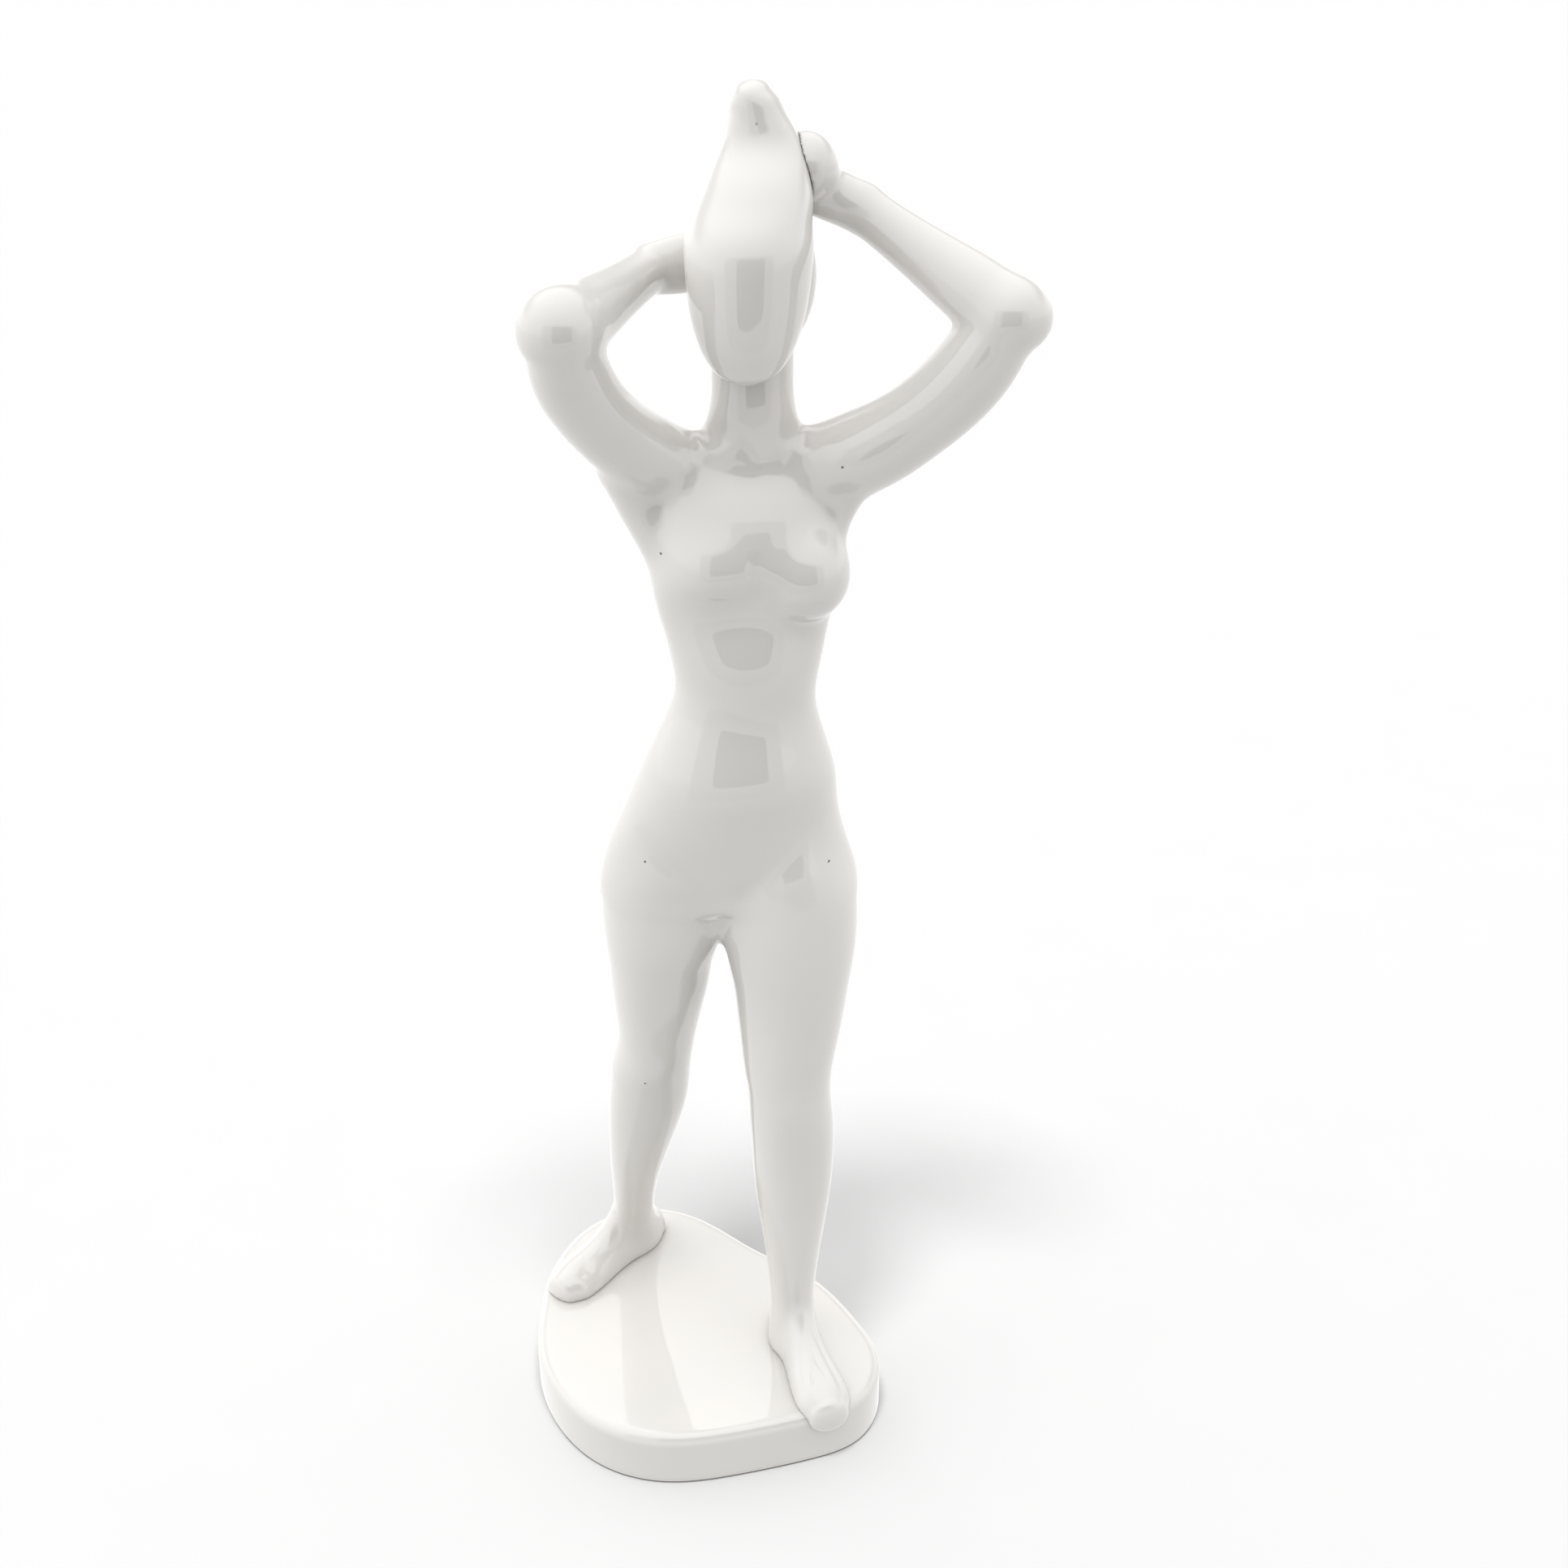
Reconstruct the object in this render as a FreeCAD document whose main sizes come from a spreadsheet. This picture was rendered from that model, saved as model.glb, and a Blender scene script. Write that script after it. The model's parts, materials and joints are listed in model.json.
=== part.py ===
import FreeCAD, Part
import math
import os
import Sketcher

# A hollow slip-cast porcelain figurine: a standing figure with raised arms on a low rounded plinth.
# Frame: origin at the bottom middle of the whole figurine's box, +Z up, the figure faces -Y, +X is its left.
# The forms are laid out about the middle of the plinth, and each finished piece is then moved to that frame.
# "side" is a distance along +X, "back" along +Y and "up" along +Z, all in millimetres.
# The castings come out of separate moulds and are luted with thin layers of slip at flat butt joints.

doc = FreeCAD.newDocument("Figurine")
sheet = doc.addObject("Spreadsheet::Sheet", "dims")

LEVEL = "rotation(vector(0; 0; 1); 0)"    # no rotation: the long axis of a section runs side to side
DEEP = "rotation(vector(0; 0; 1); 90)"    # the long axis of a section runs front to back
FAR = 200          # reach of a cutting tool, larger than any casting
SLICE_REACH = 22   # reach of a tool that cuts one limb only
GRIP_REACH = 8     # reach of the tool that trims the fist where it holds the hair
OVERLAP = 1        # how far a vent runs on past the face it opens
CLOSE = 0.001      # two levels nearer than this are one level
PROBE_STEP = 0.5   # how far outside an edge a point is tried
SHOULDER_SHARE = 0.2  # place of the shoulder joint along the upper arm
WRIST_SHARE = 0.96    # place of the wrist joint along the forearm

# ---------------------------------------------------------------- driving dimensions

SIZES = {
    "wall": 3, "slip": 0.4, "vent_radius": 1.2,
    "plinth_tall": 14, "plinth_wall": 4, "plinth_edge": 3.6, "rim_edge": 0.8,
    "corner_back": 19, "corner_side": 17.5, "corner_front": 29.5,
    "corner_back_x": -17, "corner_side_x": 24, "corner_front_x": -12.5,
    "corner_back_y": 21, "corner_side_y": -14, "corner_front_y": -11.5,
    "flank_right": 90, "flank_front": 150, "flank_left": 110,
    "thigh_top": 13.5, "thigh_mid": 11, "knee": 9.2, "calf": 9, "shin": 6.4, "ankle": 5,
    "limb_depth": 1.1,
    "foot_half": 17.5, "foot_wide": 6.3, "foot_tall": 13,
    "right_foot_turn": -42, "left_foot_turn": 16,
    "hip_wide": 27.5, "waist_wide": 14.3, "chest_wide": 18.6, "yoke_wide": 16, "neck_wide": 8.2,
    "hip_deep": 15.5, "waist_deep": 10.4, "chest_deep": 12.2, "yoke_deep": 10, "neck_deep": 8,
    "arm_top": 7.6, "arm_mid": 7.2, "elbow": 7.1, "forearm": 5.9, "wrist": 4,
    "palm_tall": 5.6, "fist": 5.3, "palm_thick": 3.9, "palm_turn": 17, "palm_press": 0.8,
    "bust": 7.8, "bust_apart": 11, "chest_turn": 14, "bust_reach": 6,
    "seat": 10.5, "seat_apart": 9.2, "seat_reach": 7,
    "skull_wide": 12.1, "skull_deep": 12.9, "hair_wide": 10.4, "hair_deep": 9.2, "lock": 5.4,
    "lock_side": 5.6, "lock_back": 1, "lock_down": 2, "grip_inset": 3.4, "fist_twist": 40,
    "mask_lean": 14.6, "frame_side": -12.35, "frame_back": 0.5,
}

# Joints of the skeleton: (side, back, up). The weight rests on the left leg.
JOINTS = {
    "right_hip": (-8.2, 3, 122), "right_knee": (-12.6, 8, 86), "right_ankle": (-20.3, 25, 20),
    "left_hip": (20.2, -2, 122), "left_knee": (19.8, -7.5, 84), "left_ankle": (20.5, -10, 20),
    "pelvis": (6.6, 1, 134), "waist": (10.2, -1, 181), "chest": (10.8, 0.5, 208),
    "yoke": (11.6, 2.5, 229), "neck": (12.5, 2, 238), "nape": (12.4, 2, 257),
    "right_shoulder": (-5, 1.5, 231), "right_elbow": (-21.2, -19.5, 260.8), "right_wrist": (-7, 10, 266),
    "left_shoulder": (30, 2, 231), "left_elbow": (59.6, -5, 260.6), "left_wrist": (33.2, 9, 277.4),
    "chin": (11.6, -9, 249.4), "brow": (12.2, -1.2, 269), "crown": (13.8, 5.2, 287.5),
    "tail": (13.3, 8.4, 300), "bun": (14.4, 6, 266),
    "right_fingertips": (13.4, 16.4, 268.2), "left_fist": (24.9, 9, 286),
}


def fill_sheet():
    """One cell for each driving dimension, three for each joint of the skeleton."""
    cells = dict(SIZES)
    for joint, place in JOINTS.items():
        for axis, value in zip(("side", "back", "up"), place):
            cells[joint + "_" + axis] = value
    for row, (alias, value) in enumerate(cells.items(), start=1):
        sheet.set("A%d" % row, alias)
        sheet.set("B%d" % row, str(value))
        sheet.setAlias("B%d" % row, alias)
    doc.recompute()


def size(alias):
    return float(getattr(sheet, alias))


def joint(name):
    """The three cells of a joint, as expressions."""
    return ["dims.%s_%s" % (name, axis) for axis in ("side", "back", "up")]


def between(start, end, share, bow=(0, 0, 0)):
    """The point at a share of the way from one joint to the next, bowed off the straight line."""
    swell = 4 * share * (1 - share)
    return ["%s + (%s - %s) * %g + %g" % (a, b, a, share, swell * shift)
            for a, b, shift in zip(joint(start), joint(end), bow)]


def shifted(place, side="0", back="0", up="0"):
    return ["%s + (%s)" % pair for pair in zip(place, (side, back, up))]


def bone_turn(start, end):
    """The rotation that takes +Z to the direction of a bone."""
    run = ["(%s - %s)" % (b, a) for a, b in zip(joint(start), joint(end))]
    level = "sqrt(%s ^ 2 + %s ^ 2)" % (run[0], run[1])
    return "rotation(vector(0 - %s; %s; 0); atan2(%s; %s))" % (run[1], run[0], level, run[2])


def set_place(item, place, turn=None, advance=None):
    """Binds a placement: a point, a rotation, and a step along the turned +Z."""
    bound = "placement(vector(%s; %s; %s); %s)" % (*place, turn or LEVEL)
    if advance is not None:
        bound += " * placement(vector(0; 0; %s); %s)" % (advance, LEVEL)
    item.setExpression("Placement", bound)


# ---------------------------------------------------------------- building blocks

def ring(name, place, wide, deep, turn=None):
    """An elliptical section, wide along its own X and deep along its own Y; deep is never the larger."""
    item = doc.addObject("Part::Ellipse", name)
    item.setExpression("MajorRadius", wide)
    item.setExpression("MinorRadius", deep)
    set_place(item, place, turn)
    return item


def loft(name, sections):
    item = doc.addObject("Part::Loft", name)
    item.Sections = sections
    item.Solid = True
    return item


def skin(name, stations, inset="0"):
    """A loft through stations (place, wide, deep, turn), each drawn in by the inset."""
    rings = [ring("%s_ring_%d" % (name, number), place, "(%s) - (%s)" % (wide, inset),
                  "(%s) - (%s)" % (deep, inset), turn)
             for number, (place, wide, deep, turn) in enumerate(stations, start=1)]
    return loft(name, rings)


def ball(name, place, wide, deep, tall, turn=None):
    item = doc.addObject("Part::Ellipsoid", name)
    item.setExpression("Radius1", tall)
    item.setExpression("Radius2", wide)
    item.setExpression("Radius3", deep)
    set_place(item, place, turn)
    return item


def rod(name, place, radius, length, turn=None, advance=None):
    item = doc.addObject("Part::Cylinder", name)
    item.setExpression("Radius", str(radius))
    item.setExpression("Height", str(length))
    set_place(item, place, turn, advance)
    return item


def fuse(name, items):
    item = doc.addObject("Part::MultiFuse", name)
    item.Shapes = items
    return item


def common(name, items):
    item = doc.addObject("Part::MultiCommon", name)
    item.Shapes = items
    return item


def cut(name, base, tool):
    item = doc.addObject("Part::Cut", name)
    item.Base = base
    item.Tool = tool
    return item


class ButtJoint:
    """A flat joint across a limb: the place and direction of its plane, from the body outwards."""

    def __init__(self, name, place, turn, reach=SLICE_REACH):
        self.name = name
        self.place = place
        self.turn = turn
        self.reach = reach

    def tool(self, name, start, length):
        """A round tool from one distance along the joint's direction to the next."""
        return rod(name, self.place, self.reach, length, self.turn, start)

    def beyond(self, length=FAR):
        return self.tool(self.name + "_beyond", "dims.slip / 2", length)

    def behind(self, length=FAR):
        return self.tool(self.name + "_behind", "0 - %g - dims.slip / 2" % length, length)

    def layer(self):
        return self.tool(self.name + "_layer", "0 - dims.slip / 2", "dims.slip")


# ---------------------------------------------------------------- plinth

def tangent_outline(shrink):
    """Three corner arcs joined by three flatter flank arcs, each tangent inside its neighbours.

    Returns (centre, radius, start angle, end angle) for each arc, counter-clockwise."""
    corners = [((size(corner + "_x"), size(corner + "_y")), size(corner) - shrink)
               for corner in ("corner_side", "corner_back", "corner_front")]
    flanks = [size("flank_right") - shrink, size("flank_left") - shrink, size("flank_front") - shrink]
    centres = []
    for number, flank in enumerate(flanks):
        (first, first_radius), (second, second_radius) = corners[number], corners[(number + 1) % 3]
        span_x, span_y = second[0] - first[0], second[1] - first[1]
        span = math.hypot(span_x, span_y)
        near, far = flank - first_radius, flank - second_radius
        forward = (span ** 2 + near ** 2 - far ** 2) / (2 * span)
        inward = math.sqrt(near ** 2 - forward ** 2)
        unit = (span_x / span, span_y / span)
        centres.append((first[0] + unit[0] * forward - unit[1] * inward,
                        first[1] + unit[1] * forward + unit[0] * inward))

    def bearing(origin, target):
        return math.atan2(target[1] - origin[1], target[0] - origin[0])

    arcs = []
    for number in range(3):
        centre, radius = corners[number]
        following = corners[(number + 1) % 3][0]
        arcs.append((centre, radius, bearing(centres[number - 1], centre), bearing(centres[number], centre)))
        arcs.append((centres[number], flanks[number], bearing(centres[number], centre),
                     bearing(centres[number], following)))
    return arcs


def outline_sketch(body, name, shrink, shrink_cell):
    """The plinth's outline, drawn in by a distance, fixed by tangency, radii and corner centres."""
    sketch = body.newObject("Sketcher::SketchObject", name)
    sketch.AttachmentSupport = [(origin_plane(body, "XY_Plane"), "")]
    sketch.MapMode = "FlatFace"
    arcs = tangent_outline(shrink)
    for centre, radius, start, end in arcs:
        circle = Part.Circle(FreeCAD.Vector(*centre, 0), FreeCAD.Vector(0, 0, 1), radius)
        sketch.addGeometry(Part.ArcOfCircle(circle, start, end), False)
    for number in range(len(arcs)):
        sketch.addConstraint(Sketcher.Constraint("Tangent", number, 2, (number + 1) % len(arcs), 1))
    radii = ["corner_side", "flank_right", "corner_back", "flank_left", "corner_front", "flank_front"]
    for number, (cell, (centre, radius, _, _)) in enumerate(zip(radii, arcs)):
        place = sketch.addConstraint(Sketcher.Constraint("Radius", number, radius))
        sketch.setExpression("Constraints[%d]" % place, "dims.%s - %s" % (cell, shrink_cell))
        if cell.startswith("corner"):
            bind_centre(sketch, number, centre, ["dims.%s_x" % cell, "dims.%s_y" % cell])
    return sketch


def bind_centre(sketch, number, centre, cells):
    """Fixes the middle of one arc or circle of a sketch by two cells."""
    for kind, value, cell in zip(("DistanceX", "DistanceY"), centre, cells):
        place = sketch.addConstraint(Sketcher.Constraint(kind, -1, 1, number, 3, value))
        sketch.setExpression("Constraints[%d]" % place, cell)


def origin_plane(body, role):
    return next(item for item in body.Origin.OriginFeatures if item.Role == role)


def make_plinth():
    """A low block with a rounded top edge, hollow underneath, with a vent under each ankle."""
    body = doc.addObject("PartDesign::Body", "plinth")
    pad = body.newObject("PartDesign::Pad", "plinth_block")
    pad.Profile = outline_sketch(body, "plinth_outline", 0, "0")
    pad.setExpression("Length", "dims.plinth_tall")
    doc.recompute()

    hollow = body.newObject("PartDesign::Pocket", "plinth_hollow")
    hollow.Profile = outline_sketch(body, "hollow_outline", size("plinth_wall"), "dims.plinth_wall")
    hollow.Reversed = True
    hollow.setExpression("Length", "dims.plinth_tall - dims.plinth_wall")
    doc.recompute()

    bores = body.newObject("PartDesign::Pocket", "plinth_vents")
    bores.Profile = vent_sketch(body)
    bores.Reversed = True
    bores.setExpression("Length", "dims.plinth_tall")
    doc.recompute()

    rounding(body, "plinth_edge_round", bores, size("plinth_tall"), "dims.plinth_edge")
    rounding(body, "plinth_rim_round", body.Tip, 0, "dims.rim_edge")
    return body


def vent_sketch(body):
    """A circle under each ankle."""
    vents = body.newObject("Sketcher::SketchObject", "vent_circles")
    vents.AttachmentSupport = [(origin_plane(body, "XY_Plane"), "")]
    vents.MapMode = "FlatFace"
    for number, side in enumerate(("right", "left")):
        centre = [size("%s_ankle_%s" % (side, axis)) for axis in ("side", "back")]
        circle = Part.Circle(FreeCAD.Vector(*centre, 0), FreeCAD.Vector(0, 0, 1), size("vent_radius"))
        vents.addGeometry(circle, False)
        radius = vents.addConstraint(Sketcher.Constraint("Radius", number, size("vent_radius")))
        vents.setExpression("Constraints[%d]" % radius, "dims.vent_radius")
        bind_centre(vents, number, centre, joint(side + "_ankle")[:2])
    return vents


def rounding(body, name, base, level, cell):
    """Rounds the outer edge loop at one level: the edges whose ends are furthest out."""
    shape = base.Shape
    chosen = []
    for number, edge in enumerate(shape.Edges, start=1):
        box = edge.BoundBox
        flat = abs(box.ZMin - level) < CLOSE and abs(box.ZMax - level) < CLOSE
        if flat and outer_edge(shape, edge):
            chosen.append("Edge%d" % number)
    item = body.newObject("PartDesign::Fillet", name)
    item.Base = (base, chosen)
    item.setExpression("Radius", cell)
    doc.recompute()
    return item


def outer_edge(shape, edge):
    """True for an edge of the outer wall: one step further out from the middle leaves the solid."""
    middle = edge.valueAt((edge.FirstParameter + edge.LastParameter) / 2)
    radial = FreeCAD.Vector(middle.x, middle.y, 0)
    if radial.Length < size("corner_side"):
        return False
    radial.normalize()
    level = middle.z * 0.99 + shape.BoundBox.Center.z * 0.01
    probe = FreeCAD.Vector(middle.x, middle.y, level) + radial * PROBE_STEP
    return not shape.isInside(probe, CLOSE, False) and edge.Length > 2 * math.pi * size("vent_radius")


# ---------------------------------------------------------------- legs

def leg_stations(side, bows):
    """Level sections from inside the pelvis down to the ankle: the thigh swells forward, the calf back."""
    hip, knee, ankle = side + "_hip", side + "_knee", side + "_ankle"
    thigh_bow, calf_bow = bows
    rows = [
        (root_station(side, 0.3, 15), "dims.thigh_top * 0.85"),
        (root_station(side, 0.06, 7), "dims.thigh_top"),
        (joint(hip), "dims.thigh_top * 0.99"),
        (between(hip, knee, 0.4, thigh_bow), "dims.thigh_mid"),
        (between(hip, knee, 0.78, thigh_bow), "dims.knee * 1.03"),
        (joint(knee), "dims.knee"),
        (between(knee, ankle, 0.2, calf_bow), "dims.calf"),
        (between(knee, ankle, 0.42, calf_bow), "dims.calf * 0.87"),
        (between(knee, ankle, 0.66, calf_bow), "dims.shin * 0.95"),
        (between(knee, ankle, 0.88, calf_bow), "dims.ankle"),
        (joint(ankle), "dims.ankle"),
        (shifted(joint(ankle), "0", "0", "dims.plinth_tall - %s" % joint(ankle)[2]), "dims.ankle * 0.98"),
    ]
    return [(place, "(%s) * dims.limb_depth" % wide, wide, DEEP) for place, wide in rows]


def root_station(side, share, rise):
    """A point above the hip joint, leaning in towards the middle of the pelvis."""
    place = between(side + "_hip", "pelvis", share)
    return place[:2] + ["dims.%s_hip_up + %g" % (side, rise)]


def foot_stations(side):
    """Level sections of the foot: long at the sole, drawn back under the shin as they rise."""
    turn = "rotation(vector(0; 0; 1); dims.%s_foot_turn - 90)" % side
    ankle = joint(side + "_ankle")
    heading = "dims.%s_foot_turn" % side
    stations = []
    for rise, reach, length, width in ((0, 0.4, 1, 1), (0.2, 0.39, 0.97, 0.97), (0.42, 0.28, 0.8, 0.88),
                                       (0.7, 0.12, 0.53, 0.78), (1, 0.02, 0.34, 0.74)):
        step = "(dims.foot_half * %g)" % reach
        place = ["%s + %s * sin(%s)" % (ankle[0], step, heading),
                 "%s - %s * cos(%s)" % (ankle[1], step, heading),
                 "dims.plinth_tall + dims.foot_tall * %g" % rise]
        stations.append((place, "dims.foot_half * %g" % length, "dims.foot_wide * %g" % width, turn))
    return stations


def make_leg(side, bows):
    """A hollow leg casting, its slip seam at the hip and its slip seam under the sole."""
    stations = leg_stations(side, bows)
    hip = ButtJoint(side + "_hip", joint(side + "_hip"), "rotation(vector(1; 0; 0); 180)", FAR / 3)
    sole_level = joint(side + "_ankle")[:2] + ["dims.plinth_tall + dims.slip / 2"]
    sole = ButtJoint(side + "_sole", sole_level, LEVEL, FAR / 5)
    outer = skin(side + "_leg_form", stations)
    foot = skin(side + "_foot_form", foot_stations(side))
    whole = fuse(side + "_leg_whole", [outer, foot])
    bore = skin(side + "_leg_bore", stations[:-4], "dims.wall")
    vent_turn = bone_turn(side + "_ankle", side + "_knee")
    shaft = rod(side + "_shin_vent", joint(side + "_ankle"), "dims.vent_radius",
                "(dims.%s_knee_up - dims.%s_ankle_up) * 0.75" % (side, side), vent_turn)
    drop_foot = joint(side + "_ankle")[:2] + ["dims.plinth_tall - %g" % OVERLAP]
    drop = rod(side + "_heel_vent", drop_foot, "dims.vent_radius",
               "dims.%s_ankle_up - dims.plinth_tall + %g" % (side, 1.6 * OVERLAP))
    hollow = fuse(side + "_leg_hollow", [bore, shaft, drop])
    trimmed = common(side + "_leg_trimmed", [whole, hip.beyond(), sole.beyond()])
    casting = cut(side + "_leg", trimmed, hollow)
    hip_slip = cut(side + "_hip_seam", common(side + "_hip_slice", [outer, hip.layer()]), bore)
    sole_slip = cut(side + "_sole_seam", common(side + "_sole_slice", [whole, sole.layer()]), drop)
    return {"casting": casting, "seams": [hip_slip, sole_slip], "outer": outer, "bore": bore, "hip": hip}


# ---------------------------------------------------------------- arms and hands

def arm_stations(side, bow):
    shoulder, elbow, chest = side + "_shoulder", side + "_elbow", "yoke"
    turn = bone_turn(shoulder, elbow)
    rows = [
        (between(chest, shoulder, 0.45), "dims.arm_top * 1.12"),
        (joint(shoulder), "dims.arm_top * 1.06"),
        (between(shoulder, elbow, 0.3, bow), "dims.arm_top"),
        (between(shoulder, elbow, 0.65, bow), "dims.arm_mid"),
        (joint(elbow), "dims.elbow * 0.93"),
    ]
    return [(place, girth, girth, turn) for place, girth in rows]


def forearm_stations(side):
    elbow, wrist = side + "_elbow", side + "_wrist"
    turn = bone_turn(elbow, wrist)
    rows = [
        (joint(elbow), "dims.elbow * 0.9"),
        (between(elbow, wrist, 0.3), "dims.forearm"),
        (between(elbow, wrist, 0.7), "dims.forearm * 0.82"),
        (joint(wrist), "dims.wrist"),
    ]
    return [(place, girth, girth, turn) for place, girth in rows]


def make_arm(side, bow):
    """A casting from the shoulder to the wrist, hollow as far as the elbow, with both its slip seams."""
    upper = arm_stations(side, bow)
    turn = bone_turn(side + "_shoulder", side + "_elbow")
    shoulder_place = between(side + "_shoulder", side + "_elbow", SHOULDER_SHARE, bow)
    shoulder = ButtJoint(side + "_shoulder", shoulder_place, turn)
    wrist_turn = bone_turn(side + "_elbow", side + "_wrist")
    wrist_place = between(side + "_elbow", side + "_wrist", WRIST_SHARE)
    wrist = ButtJoint(side + "_wrist", wrist_place, wrist_turn, FAR / 20)
    form = skin(side + "_arm_form", upper)
    bore = skin(side + "_arm_bore", upper[:-1], "dims.wall")
    lower = skin(side + "_forearm_form", forearm_stations(side))
    bend = ball(side + "_elbow_form", joint(side + "_elbow"), "dims.elbow", "dims.elbow", "dims.elbow")
    upper_part = common(side + "_arm_upper", [form, shoulder.beyond()])
    lower_part = common(side + "_arm_lower", [lower, wrist.behind()])
    casting = fuse(side + "_arm", [cut(side + "_arm_sleeve", upper_part, bore), bend, lower_part])
    shoulder_slice = common(side + "_shoulder_slice", [form, shoulder.layer()])
    shoulder_slip = cut(side + "_shoulder_seam", shoulder_slice, bore)
    wrist_slip = common(side + "_wrist_seam", [lower, wrist.layer()])
    return {"casting": casting, "seams": [shoulder_slip, wrist_slip], "form": form, "bore": bore,
            "shoulder": shoulder, "wrist": wrist, "forearm": lower}


def hand_stations(side, tip, rows):
    """Sections of a mitten-like hand, tall across the palm, along the line from wrist to fingertips."""
    wrist = side + "_wrist"
    turn = bone_turn(wrist, tip)
    if side == "left":
        turn += " * rotation(vector(0; 0; 1); dims.fist_twist)"
    return [(between(wrist, tip, share), tall, thick, turn) for share, tall, thick in rows]


def make_hand(side, tip, rows, arm, plane):
    """A hand casting: it starts at the wrist joint and is trimmed flat where it meets the hair."""
    form = skin(side + "_hand_form", hand_stations(side, tip, rows))
    sleeve = common(side + "_hand_sleeve", [arm["forearm"], arm["wrist"].beyond()])
    whole = fuse(side + "_hand_whole", [form, sleeve])
    clear = fuse(side + "_hand_clear", [plane.behind(), arm["wrist"].behind(FAR / 10)])
    return cut(side + "_hand", whole, clear), whole


# ---------------------------------------------------------------- torso

def trunk_stations():
    """Level sections of the trunk from the fork of the legs to the base of the neck."""
    rows = [
        (shifted(joint("pelvis"), "0", "0", "0 - 5.5"), "dims.hip_wide * 0.8", "dims.hip_deep * 0.7"),
        (joint("pelvis"), "dims.hip_wide", "dims.hip_deep * 0.95"),
        (between("pelvis", "waist", 0.27, (-0.8, 0, 0)), "dims.hip_wide * 0.93", "dims.hip_deep"),
        (between("pelvis", "waist", 0.6, (-0.4, -0.6, 0)), "dims.hip_wide * 0.75", "dims.hip_deep * 0.84"),
        (between("pelvis", "waist", 0.85), "dims.waist_wide * 1.16", "dims.waist_deep * 1.06"),
        (joint("waist"), "dims.waist_wide", "dims.waist_deep"),
        (between("waist", "chest", 0.45), "dims.chest_wide * 0.86", "dims.chest_deep * 0.94"),
        (joint("chest"), "dims.chest_wide", "dims.chest_deep"),
        (between("chest", "yoke", 0.5), "dims.chest_wide * 1.02", "dims.chest_deep * 0.97"),
        (joint("yoke"), "dims.yoke_wide", "dims.yoke_deep"),
        (between("yoke", "neck", 0.45), "dims.yoke_wide * 0.75", "dims.yoke_deep * 0.94"),
        (joint("neck"), "dims.neck_wide * 1.15", "dims.neck_deep * 1.1"),
    ]
    return [(place, wide, deep, LEVEL) for place, wide, deep in rows]


def neck_stations():
    rows = [
        (joint("yoke"), "dims.neck_wide * 1.3", "dims.neck_deep * 1.14"),
        (joint("neck"), "dims.neck_wide * 1.15", "dims.neck_deep * 1.1"),
        (between("neck", "nape", 0.5), "dims.neck_wide", "dims.neck_deep"),
        (joint("nape"), "dims.neck_wide", "dims.neck_deep"),
    ]
    return [(place, wide, deep, LEVEL) for place, wide, deep in rows]


def breast(side, hand):
    """A small rounded form on the turned chest; hand is -1 for the right side and 1 for the left."""
    across = "dims.bust_apart * %d" % hand
    place = shifted(joint("chest"),
                    "%s * cos(dims.chest_turn) + dims.bust_reach * sin(dims.chest_turn)" % across,
                    "%s * sin(dims.chest_turn) - dims.bust_reach * cos(dims.chest_turn)" % across, "2")
    return ball(side + "_bust", place, "dims.bust", "dims.bust * 0.86", "dims.bust * 1.05")


def buttock(side, hand):
    place = shifted(joint("pelvis"), "dims.seat_apart * %d" % hand, "dims.seat_reach", "2")
    return ball(side + "_seat", place, "dims.seat", "dims.seat * 0.9", "dims.seat * 1.15")


def make_torso(legs, arms, neck):
    """The trunk shell from the hip joints to the neck joint, open at all five joints."""
    stations = trunk_stations()
    trunk = skin("trunk_form", stations)
    core = skin("trunk_bore", stations[1:-2], "dims.wall")
    fork = ball("fork_form", shifted(joint("pelvis"), "0", "0 - 1", "0 - 1"),
                "dims.hip_wide * 0.4", "dims.hip_deep * 0.72", "dims.hip_deep * 0.46")
    parts = [trunk, fork]
    hollows = [core]
    for side, hand in (("right", -1), ("left", 1)):
        leg, arm = legs[side], arms[side]
        parts.append(common(side + "_thigh_root", [leg["outer"], leg["hip"].behind()]))
        parts.append(common(side + "_arm_root", [arm["form"], arm["shoulder"].behind()]))
        parts.append(breast(side, hand))
        parts.append(buttock(side, hand))
        hollows.append(leg["bore"])
        hollows.append(arm["bore"])
    hollows.append(neck["bore"])
    whole = fuse("torso_whole", parts)
    trimmed = common("torso_trimmed", [whole, neck["joint"].behind(), hip_level()])
    return cut("torso", trimmed, fuse("torso_hollow", hollows))


def hip_level():
    """Everything above the two hip joints, which lie on one level."""
    place = ["0", "0", "dims.left_hip_up + dims.slip / 2"]
    return rod("above_hips", place, FAR, FAR)


# ---------------------------------------------------------------- head and hair

def skull_stations():
    """Level sections of the head, from the chin up the leaning crown into the gathered tail."""
    rows = [
        (joint("chin"), 0.35, 0.34),
        (between("chin", "brow", 0.13, (0.4, 4.2, 0)), 0.6, 0.56),
        (between("chin", "brow", 0.34, (0.3, 2.2, 0)), 0.8, 0.79),
        (between("chin", "brow", 0.66, (0.5, 0.8, 0)), 0.96, 0.96),
        (joint("brow"), 1, 1),
        (between("brow", "crown", 0.38, (-0.3, 0, 0)), 0.95, 0.93),
        (between("brow", "crown", 0.7, (0.2, 0.4, 0)), 0.81, 0.77),
        (joint("crown"), 0.62, 0.58),
        (between("crown", "tail", 0.35), 0.46, 0.46),
        (between("crown", "tail", 0.72), 0.33, 0.33),
        (joint("tail"), 0.14, 0.14),
    ]
    return [(place, "dims.skull_deep * %g" % deep, "dims.skull_wide * %g" % wide, DEEP)
            for place, deep, wide in rows]


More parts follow.
